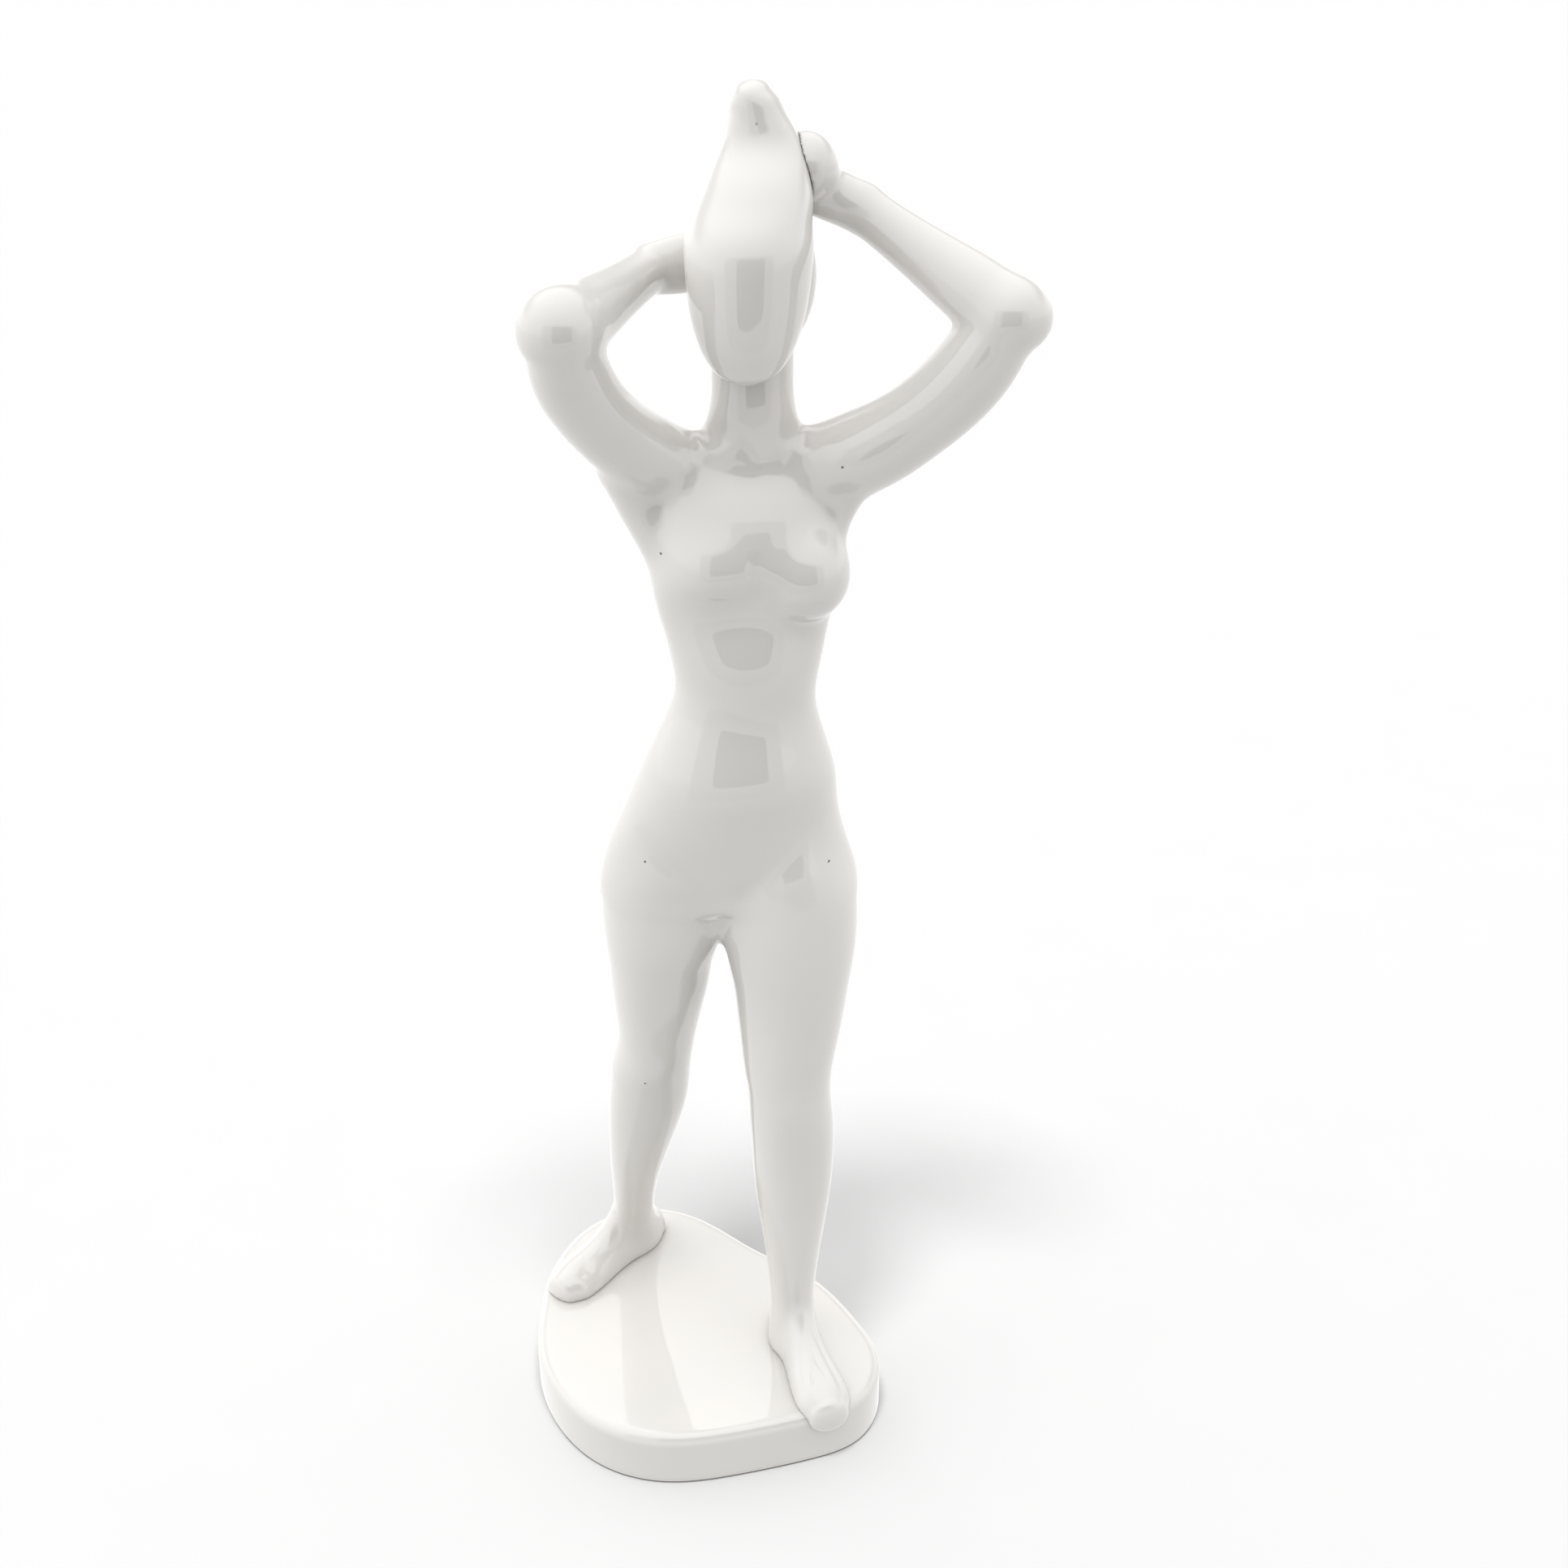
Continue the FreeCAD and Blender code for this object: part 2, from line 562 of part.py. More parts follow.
def make_neck():
    """The neck from inside the chest to inside the head, with the bore that joins their hollows."""
    stations = neck_stations()
    base = ButtJoint("neck", joint("neck"), LEVEL, FAR / 3)
    bore = skin("neck_bore", stations, "dims.wall")
    return {"form": skin("neck_form", stations), "bore": bore, "joint": base}


def make_head(neck, palm, grip):
    """The mask-like head with its neck, the swept-up hair behind it, and the slip between them."""
    mask_turn = "rotation(vector(1; 0; 0); dims.mask_lean - 90)"
    mask = ButtJoint("mask", joint("bun"), mask_turn, FAR / 4)
    stations = skull_stations()
    skull = skin("skull_form", stations)
    bore = skin("skull_bore", stations[2:7], "dims.wall")
    hollow = fuse("head_hollow", [bore, neck["bore"]])
    neck_upper = common("neck_upper", [neck["form"], neck["joint"].beyond()])
    head_form = fuse("head_whole", [skull, neck_upper])
    head = cut("head", common("head_front", [head_form, mask.behind()]), hollow)

    bun = ball("bun_form", joint("bun"), "dims.hair_wide", "dims.hair_deep", "dims.hair_wide * 1.42")
    steps = ["0 - dims." + cell for cell in ("lock_side", "lock_back", "lock_down")]
    lock_place = shifted(joint("left_fist"), *steps)
    lock = ball("lock_form", lock_place, "dims.lock * 0.85", "dims.lock", "dims.lock * 1.15")
    hair_form = fuse("hair_whole", [skull, bun, lock])
    hair_back = common("hair_back", [hair_form, mask.beyond()])
    hair_cleared = cut("hair_cleared", hair_back, fuse("hand_seats", [palm.beyond(), grip.beyond()]))
    hair = cut("hair", hair_cleared, bore)
    seam = cut("hair_seam", common("mask_slice", [hair_form, mask.layer()]), hollow)
    return {"head": head, "hair": hair, "seam": seam, "hair_form": hair_form}


def palm_plane():
    """Where the right palm presses on the back of the hair: a level plane turned to the hand's line."""
    turn = "rotation(vector(0; 0; 1); dims.palm_turn) * rotation(vector(1; 0; 0); 0 - 90)"
    reach = "(dims.palm_thick - dims.palm_press)"
    place = shifted(joint("right_fingertips"), "%s * sin(dims.palm_turn)" % reach,
                    "0 - %s * cos(dims.palm_turn)" % reach)
    return ButtJoint("palm", place, turn, FAR / 5)


def grip_plane():
    """Where the left fist holds the gathered hair: an upright plane across the body."""
    turn = "rotation(vector(0; 1; 0); 90)"
    return ButtJoint("grip", shifted(joint("left_fist"), "0 - dims.grip_inset"), turn, GRIP_REACH)


# Rows of (share of the way from wrist to tip, half height, half thickness).
PALM_ROWS = [
    (0, "dims.wrist", "dims.wrist * 0.96"),
    (0.22, "dims.palm_tall * 0.93", "dims.palm_thick"),
    (0.55, "dims.palm_tall", "dims.palm_thick"),
    (0.85, "dims.palm_tall * 0.86", "dims.palm_thick * 0.8"),
    (1.12, "dims.palm_tall * 0.4", "dims.palm_thick * 0.35"),
]
FIST_ROWS = [
    (0, "dims.wrist", "dims.wrist * 0.96"),
    (0.35, "dims.fist * 0.86", "dims.fist * 0.84"),
    (0.75, "dims.fist", "dims.fist * 0.96"),
    (1.1, "dims.fist * 0.94", "dims.fist * 0.9"),
    (1.4, "dims.fist * 0.45", "dims.fist * 0.45"),
]

# ---------------------------------------------------------------- assembly

fill_sheet()
plinth = make_plinth()
legs = {
    "right": make_leg("right", ((0, -0.8, 0), (-0.8, 1, 0))),
    "left": make_leg("left", ((0.4, -0.8, 0), (0.2, 1, 0))),
}
arms = {
    "right": make_arm("right", (-3, 1, -3)),
    "left": make_arm("left", (0.6, 0, -4)),
}
neck = make_neck()
torso = make_torso(legs, arms, neck)
palm = palm_plane()
grip = grip_plane()
right_hand, right_form = make_hand("right", "right_fingertips", PALM_ROWS, arms["right"], palm)
left_hand, left_form = make_hand("left", "left_fist", FIST_ROWS, arms["left"], grip)
head = make_head(neck, palm, grip)
neck_seam = cut("neck_seam", common("neck_slice", [neck["form"], neck["joint"].layer()]), neck["bore"])
palm_seam = common("right_hand_seam", [right_form, head["hair_form"], palm.layer()])
grip_seam = common("left_hand_seam", [left_form, head["hair_form"], grip.layer()])

NODES = [plinth, torso, head["head"], head["hair"], right_hand, left_hand, head["seam"], neck_seam,
         palm_seam, grip_seam]
for side in ("right", "left"):
    NODES += [legs[side]["casting"], arms[side]["casting"], *legs[side]["seams"], *arms[side]["seams"]]


def set_in_frame():
    """Every finished piece moves from the plinth's middle to the figurine's own frame."""
    for node in NODES:
        set_place(node, ["dims.frame_side", "dims.frame_back", "0"])


def check_document():
    doc.recompute()
    faults = [item.Name for item in doc.Objects if {"Invalid", "Error"} & set(item.State)]
    for node in NODES:
        shape = node.Shape
        if shape.isNull() or not shape.isValid() or not shape.Solids or shape.Volume <= 0:
            faults.append("%s has no valid solid" % node.Label)
    return faults


def write_parts():
    os.makedirs("parts", exist_ok=True)
    for node in NODES:
        node.Shape.exportStep("parts/%s.step" % node.Label)


set_in_frame()
faults = check_document()
if faults:
    raise SystemExit("faults: " + ", ".join(faults))
write_parts()
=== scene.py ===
import json
import math

import bmesh
import bpy
import numpy as np
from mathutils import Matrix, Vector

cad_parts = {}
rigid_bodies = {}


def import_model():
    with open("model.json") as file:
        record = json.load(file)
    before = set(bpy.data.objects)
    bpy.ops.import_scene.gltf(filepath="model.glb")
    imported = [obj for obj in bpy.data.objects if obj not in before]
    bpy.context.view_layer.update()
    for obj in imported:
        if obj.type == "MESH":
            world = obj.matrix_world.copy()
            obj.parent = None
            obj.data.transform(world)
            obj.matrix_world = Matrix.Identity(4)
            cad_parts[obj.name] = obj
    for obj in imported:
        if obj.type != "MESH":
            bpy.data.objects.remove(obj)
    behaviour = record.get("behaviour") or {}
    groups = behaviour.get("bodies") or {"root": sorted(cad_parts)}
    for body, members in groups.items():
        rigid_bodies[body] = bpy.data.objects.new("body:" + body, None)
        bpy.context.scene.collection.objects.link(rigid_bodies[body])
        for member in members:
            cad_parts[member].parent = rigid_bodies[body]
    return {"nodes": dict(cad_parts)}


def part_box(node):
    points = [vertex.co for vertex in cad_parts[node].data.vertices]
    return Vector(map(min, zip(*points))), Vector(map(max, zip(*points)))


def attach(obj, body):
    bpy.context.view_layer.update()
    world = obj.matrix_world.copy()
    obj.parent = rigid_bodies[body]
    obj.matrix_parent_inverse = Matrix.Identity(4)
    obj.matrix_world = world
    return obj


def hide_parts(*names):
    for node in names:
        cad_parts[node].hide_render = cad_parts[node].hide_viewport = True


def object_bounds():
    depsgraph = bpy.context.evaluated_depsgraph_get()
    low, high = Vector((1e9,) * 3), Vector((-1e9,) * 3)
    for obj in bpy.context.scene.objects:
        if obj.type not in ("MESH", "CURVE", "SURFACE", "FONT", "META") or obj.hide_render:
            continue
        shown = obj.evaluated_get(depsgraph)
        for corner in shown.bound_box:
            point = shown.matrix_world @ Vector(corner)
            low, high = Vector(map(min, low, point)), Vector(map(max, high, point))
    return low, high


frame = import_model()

import openvdb
from mathutils import Vector

CAD_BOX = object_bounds()

# The figurine is sculpted as a distance field, in millimetres from the middle of the plinth's underside:
# x to the figure's left, y towards its back, z up. The field is turned into a skin, and the skin is cut
# into the separate castings at the joints that the CAD model sets.
MM = 0.001
PLINTH_LOW, PLINTH_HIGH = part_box("plinth")
MIDDLE = Vector((PLINTH_LOW.x + 42 * MM, PLINTH_LOW.y + 41 * MM, PLINTH_LOW.z))
DECK = (PLINTH_HIGH.z - PLINTH_LOW.z) / MM
TOP = (CAD_BOX[1].z - PLINTH_LOW.z) / MM
GRID_STEP = 0.5
FAR_OUT = 30.0       # the field where there is no clay
SKIN_BAND = 2.0      # how far from the skin the field is kept when it is meshed
SKIN_PASSES = 2      # how often the skin's points are drawn on to the surface
LONGEST_STEP = 0.2   # how far one pass may draw a point
FLATTEST_SLOPE = 0.05
GONE = 1e-6          # anything nearer to nothing than this is nothing
WRIST_SPARE = 1.5    # how far hand and arm are sculpted past the wrist that divides them


def to_figure(point):
    """A point of the frame, in millimetres from the middle of the plinth's underside."""
    return np.array((Vector(point) - MIDDLE) / MM)


def joint_plane(seam, outward):
    """(centre, unit normal) of the thin flat layer of slip at a joint, in figure coordinates."""
    points = np.array([to_figure(v.co) for v in frame["nodes"][seam].data.vertices])
    centre = (points.min(0) + points.max(0)) / 2
    normal = np.linalg.svd(points - points.mean(0), full_matrices=False)[2][-1]
    return centre, normal * np.sign(np.dot(normal, outward))


# ---------------------------------------------------------------- clay: a distance field on a grid

def spline(knots, values, at):
    """A natural cubic spline through (knots, values), held level beyond its ends."""
    knots, values = np.asarray(knots, float), np.asarray(values, float)
    count = len(knots)
    gap, rise = np.diff(knots), np.diff(values)
    matrix, right = np.eye(count), np.zeros(count)
    for i in range(1, count - 1):
        matrix[i, i - 1:i + 2] = gap[i - 1], 2 * (gap[i - 1] + gap[i]), gap[i]
        right[i] = 6 * (rise[i] / gap[i] - rise[i - 1] / gap[i - 1])
    bend = np.linalg.solve(matrix, right)
    at = np.clip(at, knots[0], knots[-1])
    i = np.clip(np.searchsorted(knots, at) - 1, 0, count - 2)
    h, left, over = gap[i], at - knots[i], knots[i + 1] - at
    cubic = (bend[i] * over ** 3 + bend[i + 1] * left ** 3) / (6 * h)
    line = (values[i] / h - bend[i] * h / 6) * over + (values[i + 1] / h - bend[i + 1] * h / 6) * left
    return (cubic + line).astype(np.float32)


def soft_min(a, b, blend):
    """The lesser of two fields, with their meeting rounded over the blend distance."""
    if blend <= 0:
        return np.minimum(a, b)
    near = np.maximum(blend - np.abs(a - b), 0) / blend
    return np.minimum(a, b) - near ** 3 * (blend / 6)


def ellipse_distance(*pairs):
    """Distance to an ellipse or ellipsoid given as (coordinate, half size) pairs, close near its surface."""
    reach = np.sqrt(sum((c / half) ** 2 for c, half in pairs))
    slope = np.sqrt(sum((c / half ** 2) ** 2 for c, half in pairs))
    return reach * (reach - 1) / np.maximum(slope, GONE)


def turn_matrix(turns):
    """Rotations about x, then y, then z, in degrees; its columns are the turned axes."""
    rx, ry, rz = np.radians(turns)
    about_x = np.array([[1, 0, 0], [0, math.cos(rx), -math.sin(rx)], [0, math.sin(rx), math.cos(rx)]])
    about_y = np.array([[math.cos(ry), 0, math.sin(ry)], [0, 1, 0], [-math.sin(ry), 0, math.cos(ry)]])
    about_z = np.array([[math.cos(rz), -math.sin(rz), 0], [math.sin(rz), math.cos(rz), 0], [0, 0, 1]])
    return about_z @ about_y @ about_x


def turned(centre, turns, x, y, z):
    """The coordinates of the grid as seen from a turned centre."""
    matrix = turn_matrix(turns)
    px, py, pz = x - centre[0], y - centre[1], z - centre[2]
    return [px * matrix[0, i] + py * matrix[1, i] + pz * matrix[2, i] for i in range(3)]


class Clay:
    """A block of clay: negative inside, positive outside, in millimetres."""

    def __init__(self, low, high):
        self.low = np.asarray(low, float)
        counts = np.ceil((np.asarray(high, float) - self.low) / GRID_STEP).astype(int) + 1
        self.field = np.full(counts, FAR_OUT, np.float32)
        self.axes = [self.low[i] + GRID_STEP * np.arange(counts[i]) for i in range(3)]

    def copy(self):
        twin = Clay.__new__(Clay)
        twin.low, twin.axes, twin.field = self.low, self.axes, self.field.copy()
        return twin

    def window(self, low, high):
        """The grid slices and the open coordinate arrays of a box."""
        cut = []
        for axis, a, b in zip(self.axes, low, high):
            first, last = np.searchsorted(axis, a), np.searchsorted(axis, b)
            cut.append(slice(max(first - 1, 0), min(last + 1, len(axis))))
        x, y, z = (axis[c].astype(np.float32) for axis, c in zip(self.axes, cut))
        return tuple(cut), x[:, None, None], y[None, :, None], z[None, None, :]

    def everywhere(self):
        return self.window(self.low, [axis[-1] for axis in self.axes])

    def add(self, low, high, shape, blend=0.0):
        """Adds a shape, a function of x, y and z whose surface is inside the box."""
        margin = blend + 4 * GRID_STEP
        cut, x, y, z = self.window(np.asarray(low) - margin, np.asarray(high) + margin)
        self.field[cut] = soft_min(self.field[cut], shape(x, y, z).astype(np.float32), blend)

    def column(self, stations, blend=0.0):
        """A form built of level sections: (up, side, back, half width, half front, half back, turn)."""
        rows = np.array(stations, float)
        knots = rows[:, 0]
        wide = rows[:, 3:6].max() + 1
        low = [rows[:, 1].min() - wide, rows[:, 2].min() - wide, knots[0]]
        high = [rows[:, 1].max() + wide, rows[:, 2].max() + wide, knots[-1]]

        def shape(x, y, z):
            side, back, half, front, rear, yaw = (spline(knots, rows[:, i], z) for i in range(1, 7))
            yaw = np.radians(yaw)
            px, py = x - side, y - back
            u, v = px * np.cos(yaw) + py * np.sin(yaw), py * np.cos(yaw) - px * np.sin(yaw)
            wall = ellipse_distance((u, half), (v, np.where(v < 0, front, rear)))
            return np.maximum(wall, np.maximum(knots[0] - z, z - knots[-1]))
        self.add(low, high, shape, blend)

    def limb(self, start, end, profile, bow=(0, 0, 0), blend=0.0, flat=(0, 0, 1)):
        """A form along a bone: profile rows are (share, half size along flat, half size across it)."""
        start, end, bow = (np.asarray(p, float) for p in (start, end, bow))
        length = np.linalg.norm(end - start)
        axis = (end - start) / length
        first = np.asarray(flat, float) - axis * np.dot(flat, axis)
        first /= np.linalg.norm(first)
        second = np.cross(axis, first)
        rows = np.array(profile, float)
        reach = rows[:, 1:].max() + np.abs(bow).max() + 1
        ends = np.array([start + (end - start) * rows[0, 0], start + (end - start) * rows[-1, 0]])

        def shape(x, y, z):
            px, py, pz = x - start[0], y - start[1], z - start[2]
            run = px * axis[0] + py * axis[1] + pz * axis[2]
            share = np.clip(run / length, rows[0, 0], rows[-1, 0])
            swell = 4 * share * (1 - share)
            u = px * first[0] + py * first[1] + pz * first[2] - swell * np.dot(bow, first)
            v = px * second[0] + py * second[1] + pz * second[2] - swell * np.dot(bow, second)
            a, b = spline(rows[:, 0], rows[:, 1], share), spline(rows[:, 0], rows[:, 2], share)
            return ellipse_distance((u, a), (v, b), (run - share * length, np.minimum(a, b)))
        self.add(ends.min(0) - reach, ends.max(0) + reach, shape, blend)

    def lump(self, centre, halves, turns=(0, 0, 0), blend=0.0):
        """An ellipsoid of clay pressed on; turns are about x, then y, then z, in degrees."""
        centre, reach = np.asarray(centre, float), max(halves)
        self.add(centre - reach, centre + reach,
                 lambda x, y, z: ellipse_distance(*zip(turned(centre, turns, x, y, z), halves)), blend)

    def swell(self, centre, halves, amount, turns=(0, 0, 0)):
        """Raises (or with a negative amount, dents) the surface softly around a point."""
        centre, reach = np.asarray(centre, float), 2.6 * max(halves)
        cut, x, y, z = self.window(centre - reach, centre + reach)
        away = sum((c / half) ** 2 for c, half in zip(turned(centre, turns, x, y, z), halves))
        self.field[cut] -= (amount * np.exp(-away)).astype(np.float32)

    def stroke(self, points, width, depth):
        """Draws a soft groove (or with a negative depth, a ridge) along a line; it fades at its ends."""
        points = np.array(points, float)
        cut, x, y, z = self.window(points.min(0) - 3 * width, points.max(0) + 3 * width)
        lengths = np.linalg.norm(np.diff(points, axis=0), axis=1)
        run, best, where = 0.0, np.float32(1e9), np.float32(0)
        for a, b, length in zip(points[:-1], points[1:], lengths):
            d = (b - a) / length
            t = np.clip((x - a[0]) * d[0] + (y - a[1]) * d[1] + (z - a[2]) * d[2], 0, length)
            far = (x - a[0] - t * d[0]) ** 2 + (y - a[1] - t * d[1]) ** 2 + (z - a[2] - t * d[2]) ** 2
            where = np.where(far < best, (run + t) / lengths.sum(), where)
            best = np.minimum(best, far)
            run += length
        fade = np.maximum(np.sin(np.pi * where), 0) ** 0.7
        self.field[cut] += (depth * fade * np.exp(-best / width ** 2)).astype(np.float32)

    def smooth(self):
        """A light binomial blur, which takes the grid's grain out of the reflections."""
        for axis in range(3):
            field = np.moveaxis(self.field, axis, 0)
            field[1:-1] = (field[:-2] + 2 * field[1:-1] + field[2:]) / 4

    def sample(self, points):
        """The field at points, by linear interpolation."""
        place = np.clip((points - self.low) / GRID_STEP, 0, np.array(self.field.shape) - 1.001)
        cell = place.astype(int)
        share = (place - cell).astype(np.float32)
        total = np.zeros(len(points), np.float32)
        for corner in range(8):
            bits = np.array([corner & 1, corner >> 1 & 1, corner >> 2 & 1])
            weight = np.prod(np.where(bits, share, 1 - share), axis=1)
            index = cell + bits
            total += weight * self.field[index[:, 0], index[:, 1], index[:, 2]]
        return total

    def slope(self, points):
        """The direction out of the clay at points."""
        reach = 0.8 * GRID_STEP
        return np.stack([self.sample(points + reach * step) - self.sample(points - reach * step)
                         for step in np.eye(3)], axis=1) / (2 * reach)

    def skin(self):
        """The surface as (points in millimetres, quads)."""
        grid = openvdb.FloatGrid(SKIN_BAND)
        grid.copyFromArray(np.clip(self.field, -SKIN_BAND, SKIN_BAND))
        points, quads = grid.convertToQuads(0.0)
        points = points * GRID_STEP + self.low
        for _ in range(SKIN_PASSES):
            way = self.slope(points)
            size = np.maximum((way ** 2).sum(1), FLATTEST_SLOPE)
            step = np.clip(self.sample(points) / size, -LONGEST_STEP, LONGEST_STEP)
            points = points - way * step[:, None]
        return points, quads


# ---------------------------------------------------------------- the figure, form by form

def sculpt_trunk(clay):
    """Pelvis, waist and rib cage, as rows of (up, side, back, half width, half front, half back, turn)."""
    clay.column([
        (129, 6.4, 2.0, 9, 3.6, 6, 5),
        (132, 6.5, 1.6, 19, 8.2, 11.8, 5),
        (135, 6.6, 1.2, 25.4, 11.5, 14.9, 5),
        (138, 6.6, 1.0, 26.9, 12.2, 15.5, 5),
        (142, 6.5, 0.8, 26.7, 13.2, 15.5, 5),
        (147, 6.4, 0.5, 25.6, 14.0, 14.9, 5),
        (153, 6.8, 0.0, 23.9, 14.8, 13.6, 6),
        (160, 7.8, -0.4, 22.1, 15.5, 12, 7),
        (165, 8.6, -0.7, 20.8, 15.5, 11, 8),
        (170, 9.0, -0.9, 19.1, 14.4, 10.4, 9),
        (176, 9.5, -1.0, 16.8, 12.6, 9.8, 10),
        (181, 10.1, -1.0, 15.2, 11.6, 9.7, 11),
        (186, 10.8, -0.8, 14.8, 11.7, 10.1, 12),
        (191, 11.0, -0.5, 15.6, 11.9, 10.7, 13),
        (196, 11.0, -0.2, 16.6, 11.3, 11.3, 13),
        (201, 11.0, 0.1, 17.9, 10.5, 11.9, 13),
        (206, 11.1, 0.4, 18.8, 11.1, 12.3, 13),
        (211, 11.2, 0.7, 18.5, 13.0, 12.5, 13),
        (216, 11.2, 1.1, 17.8, 12.9, 12.5, 13),
        (221, 11.4, 1.6, 17.0, 11.5, 12, 12),
        (226, 11.8, 2.0, 15.6, 9.3, 11, 11),
        (231, 12.1, 2.4, 13, 6.6, 9.8, 9),
        (236, 12.3, 2.4, 9.0, 5.0, 8.2, 8),
        (239, 12.4, 2.6, 5.0, 3.0, 5.0, 8),
    ])
    clay.lump((4.8, -5.0, 211.8), (7.6, 8.1, 8.4), (-14, 0, 8), 4)
    clay.lump((22.9, -3.0, 209.7), (8.9, 8.4, 9.6), (-14, 0, 26), 4.5)
    clay.lump((5.7, -3.4, 131.8), (3.8, 5.0, 6.2), blend=3)
    clay.lump((-4.6, 11.5, 141), (9.8, 9.5, 11), blend=7)
    clay.lump((17.8, 11, 141), (9.8, 9.5, 11), blend=7)


def sculpt_neck(clay):
    """The neck, from between the collar bones to under the mask."""
    clay.column([
        (224, 11.8, 4.0, 9.9, 7.6, 8.2, 0),
        (232, 12.0, 3.4, 9.6, 7.6, 8.6, 0),
        (238, 12.3, 2.6, 9.0, 7.7, 8.5, 0),
        (243, 12.5, 2.2, 8.1, 7.7, 8.3, 0),
        (250, 12.5, 2.6, 7.9, 7.6, 8.4, 0),
        (260, 12.5, 3.8, 7.9, 7.5, 8.4, 0),
    ], blend=3.5)


def sculpt_right_leg(clay):
    """The free leg, which is set back and out."""
    clay.column([
        (DECK - 3, -20.4, 25.8, 5.5, 5, 6.2, 0),
        (20, -20.2, 24.9, 5.2, 5.2, 5.7, 0),
        (27, -19.9, 23, 5.0, 5.3, 5.3, 0),
        (37, -19.2, 20, 5.4, 5.8, 6.2, 0),
        (50.5, -17.5, 16.2, 6.9, 6.9, 8.5, 0),
        (63, -15.4, 12.8, 8.4, 7.9, 10.2, 0),
        (74.5, -13.6, 10.1, 9.3, 8.7, 10, 0),
        (80, -13.0, 9.0, 9.3, 9.2, 8.9, 0),
        (85.6, -12.4, 7.9, 9.3, 9.7, 8.6, 0),
        (91, -11.3, 6.9, 9.0, 9.7, 9.3, 0),
        (101, -10.2, 5.4, 9.9, 11.3, 11, 0),
        (111, -9.4, 4.2, 11.2, 12.9, 12.7, 0),
        (117, -9.0, 3.6, 11.9, 13.7, 13.4, 0),
        (123, -8.2, 2.9, 13.1, 14.4, 14.1, 0),
        (131, -7.6, 2.4, 14.0, 14.6, 14.6, 0),
        (139, -7.4, 2.0, 13.3, 14.3, 14, 0),
        (147, -6.0, 1.6, 11.4, 13.4, 12.5, 0),
        (155, -4.0, 1.2, 9, 10.5, 9.6, 0),
        (164, -1.0, 0.0, 4, 5, 3, 0),
    ])


def sculpt_left_leg(clay):
    """The leg that the figure stands on."""
    clay.column([
        (DECK - 3, 20.3, -9.8, 5.4, 5, 6.2, 0),
        (20, 20.4, -10, 5.1, 5.2, 5.7, 0),
        (27.5, 20.5, -9.9, 5.1, 5.4, 5.4, 0),
        (37, 20.5, -9.4, 5.8, 6.0, 6.5, 0),
        (46.5, 20.6, -8.9, 6.9, 6.8, 8.0, 0),
        (56, 20.6, -8.4, 8.2, 7.5, 9.7, 0),
        (65, 20.6, -7.9, 9.1, 8.1, 10.5, 0),
        (74, 20.5, -7.6, 9.5, 8.9, 10, 0),
        (82, 20.1, -7.6, 9.5, 9.4, 8.9, 0),
        (88, 19.7, -7.2, 9.4, 9.7, 9.1, 0),
        (92, 19.5, -6.6, 9.8, 10.1, 9.9, 0),
        (99.7, 19.7, -5.3, 10.9, 11.4, 11.3, 0),
        (107.4, 20.0, -4.0, 12.0, 12.5, 12.7, 0),
        (115.3, 20.1, -3.0, 13.1, 13.5, 13.7, 0),
        (123, 19.9, -1.9, 14.4, 14.3, 14.3, 0),
        (131, 19.9, -0.8, 14.7, 14.6, 14.8, 0),
        (139, 20.0, 0.0, 13.7, 14.4, 14.2, 0),
        (147, 19.0, 0.6, 11.4, 13.4, 12.8, 0),
        (155, 17.4, 0.8, 9, 10.5, 9.6, 0),
        (164, 15.4, 0.0, 4, 5, 3, 0),
    ])


HEEL_BEHIND = 8.3  # from the ankle back to the heel
FOOT_REACH = 8


def sculpt_foot(clay, ankle, heading, droop):
    """A mitten foot along its heading; its toe may droop over the edge of the plinth."""
    turn = math.radians(heading)
    ahead = np.array([math.sin(turn), -math.cos(turn)])
    across = np.array([ahead[1], -ahead[0]])
    heel = np.asarray(ankle) - HEEL_BEHIND * ahead
    rows = np.array([  # run from the heel, half width, height over the deck, share of the droop
        (0, 3.0, 7, 0), (2, 4.1, 11, 0), (6, 4.7, 14.5, 0), (10, 4.9, 15.5, 0), (14, 5.0, 13.6, 0),
        (18, 5.3, 10.2, 0), (23, 6.1, 7.8, 0), (28, 6.5, 6.6, 0.2), (31, 6.0, 5.8, 0.7), (32.5, 5.0, 5.2, 1),
    ])
    nose, under = 2.6, 4.0  # how far the ends round out, and how far the sole goes into the deck

    def shape(x, y, z):
        px, py = x - heel[0], y - heel[1]
        run = px * ahead[0] + py * ahead[1]
        held = np.clip(run, rows[0, 0], rows[-1, 0])
        half, height, share = (spline(rows[:, 0], rows[:, i], held) for i in (1, 2, 3))
        u = px * across[0] + py * across[1]
        up = z - DECK + droop * share
        return ellipse_distance((u, half), (up, np.where(up > 0, height, under)), (run - held, nose))
    tip = heel + (rows[-1, 0] + nose) * ahead
    low, high = np.minimum(heel, tip) - FOOT_REACH, np.maximum(heel, tip) + FOOT_REACH
    clay.add([*low, DECK - FOOT_REACH], [*high, DECK + 2.5 * FOOT_REACH], shape, blend=4)


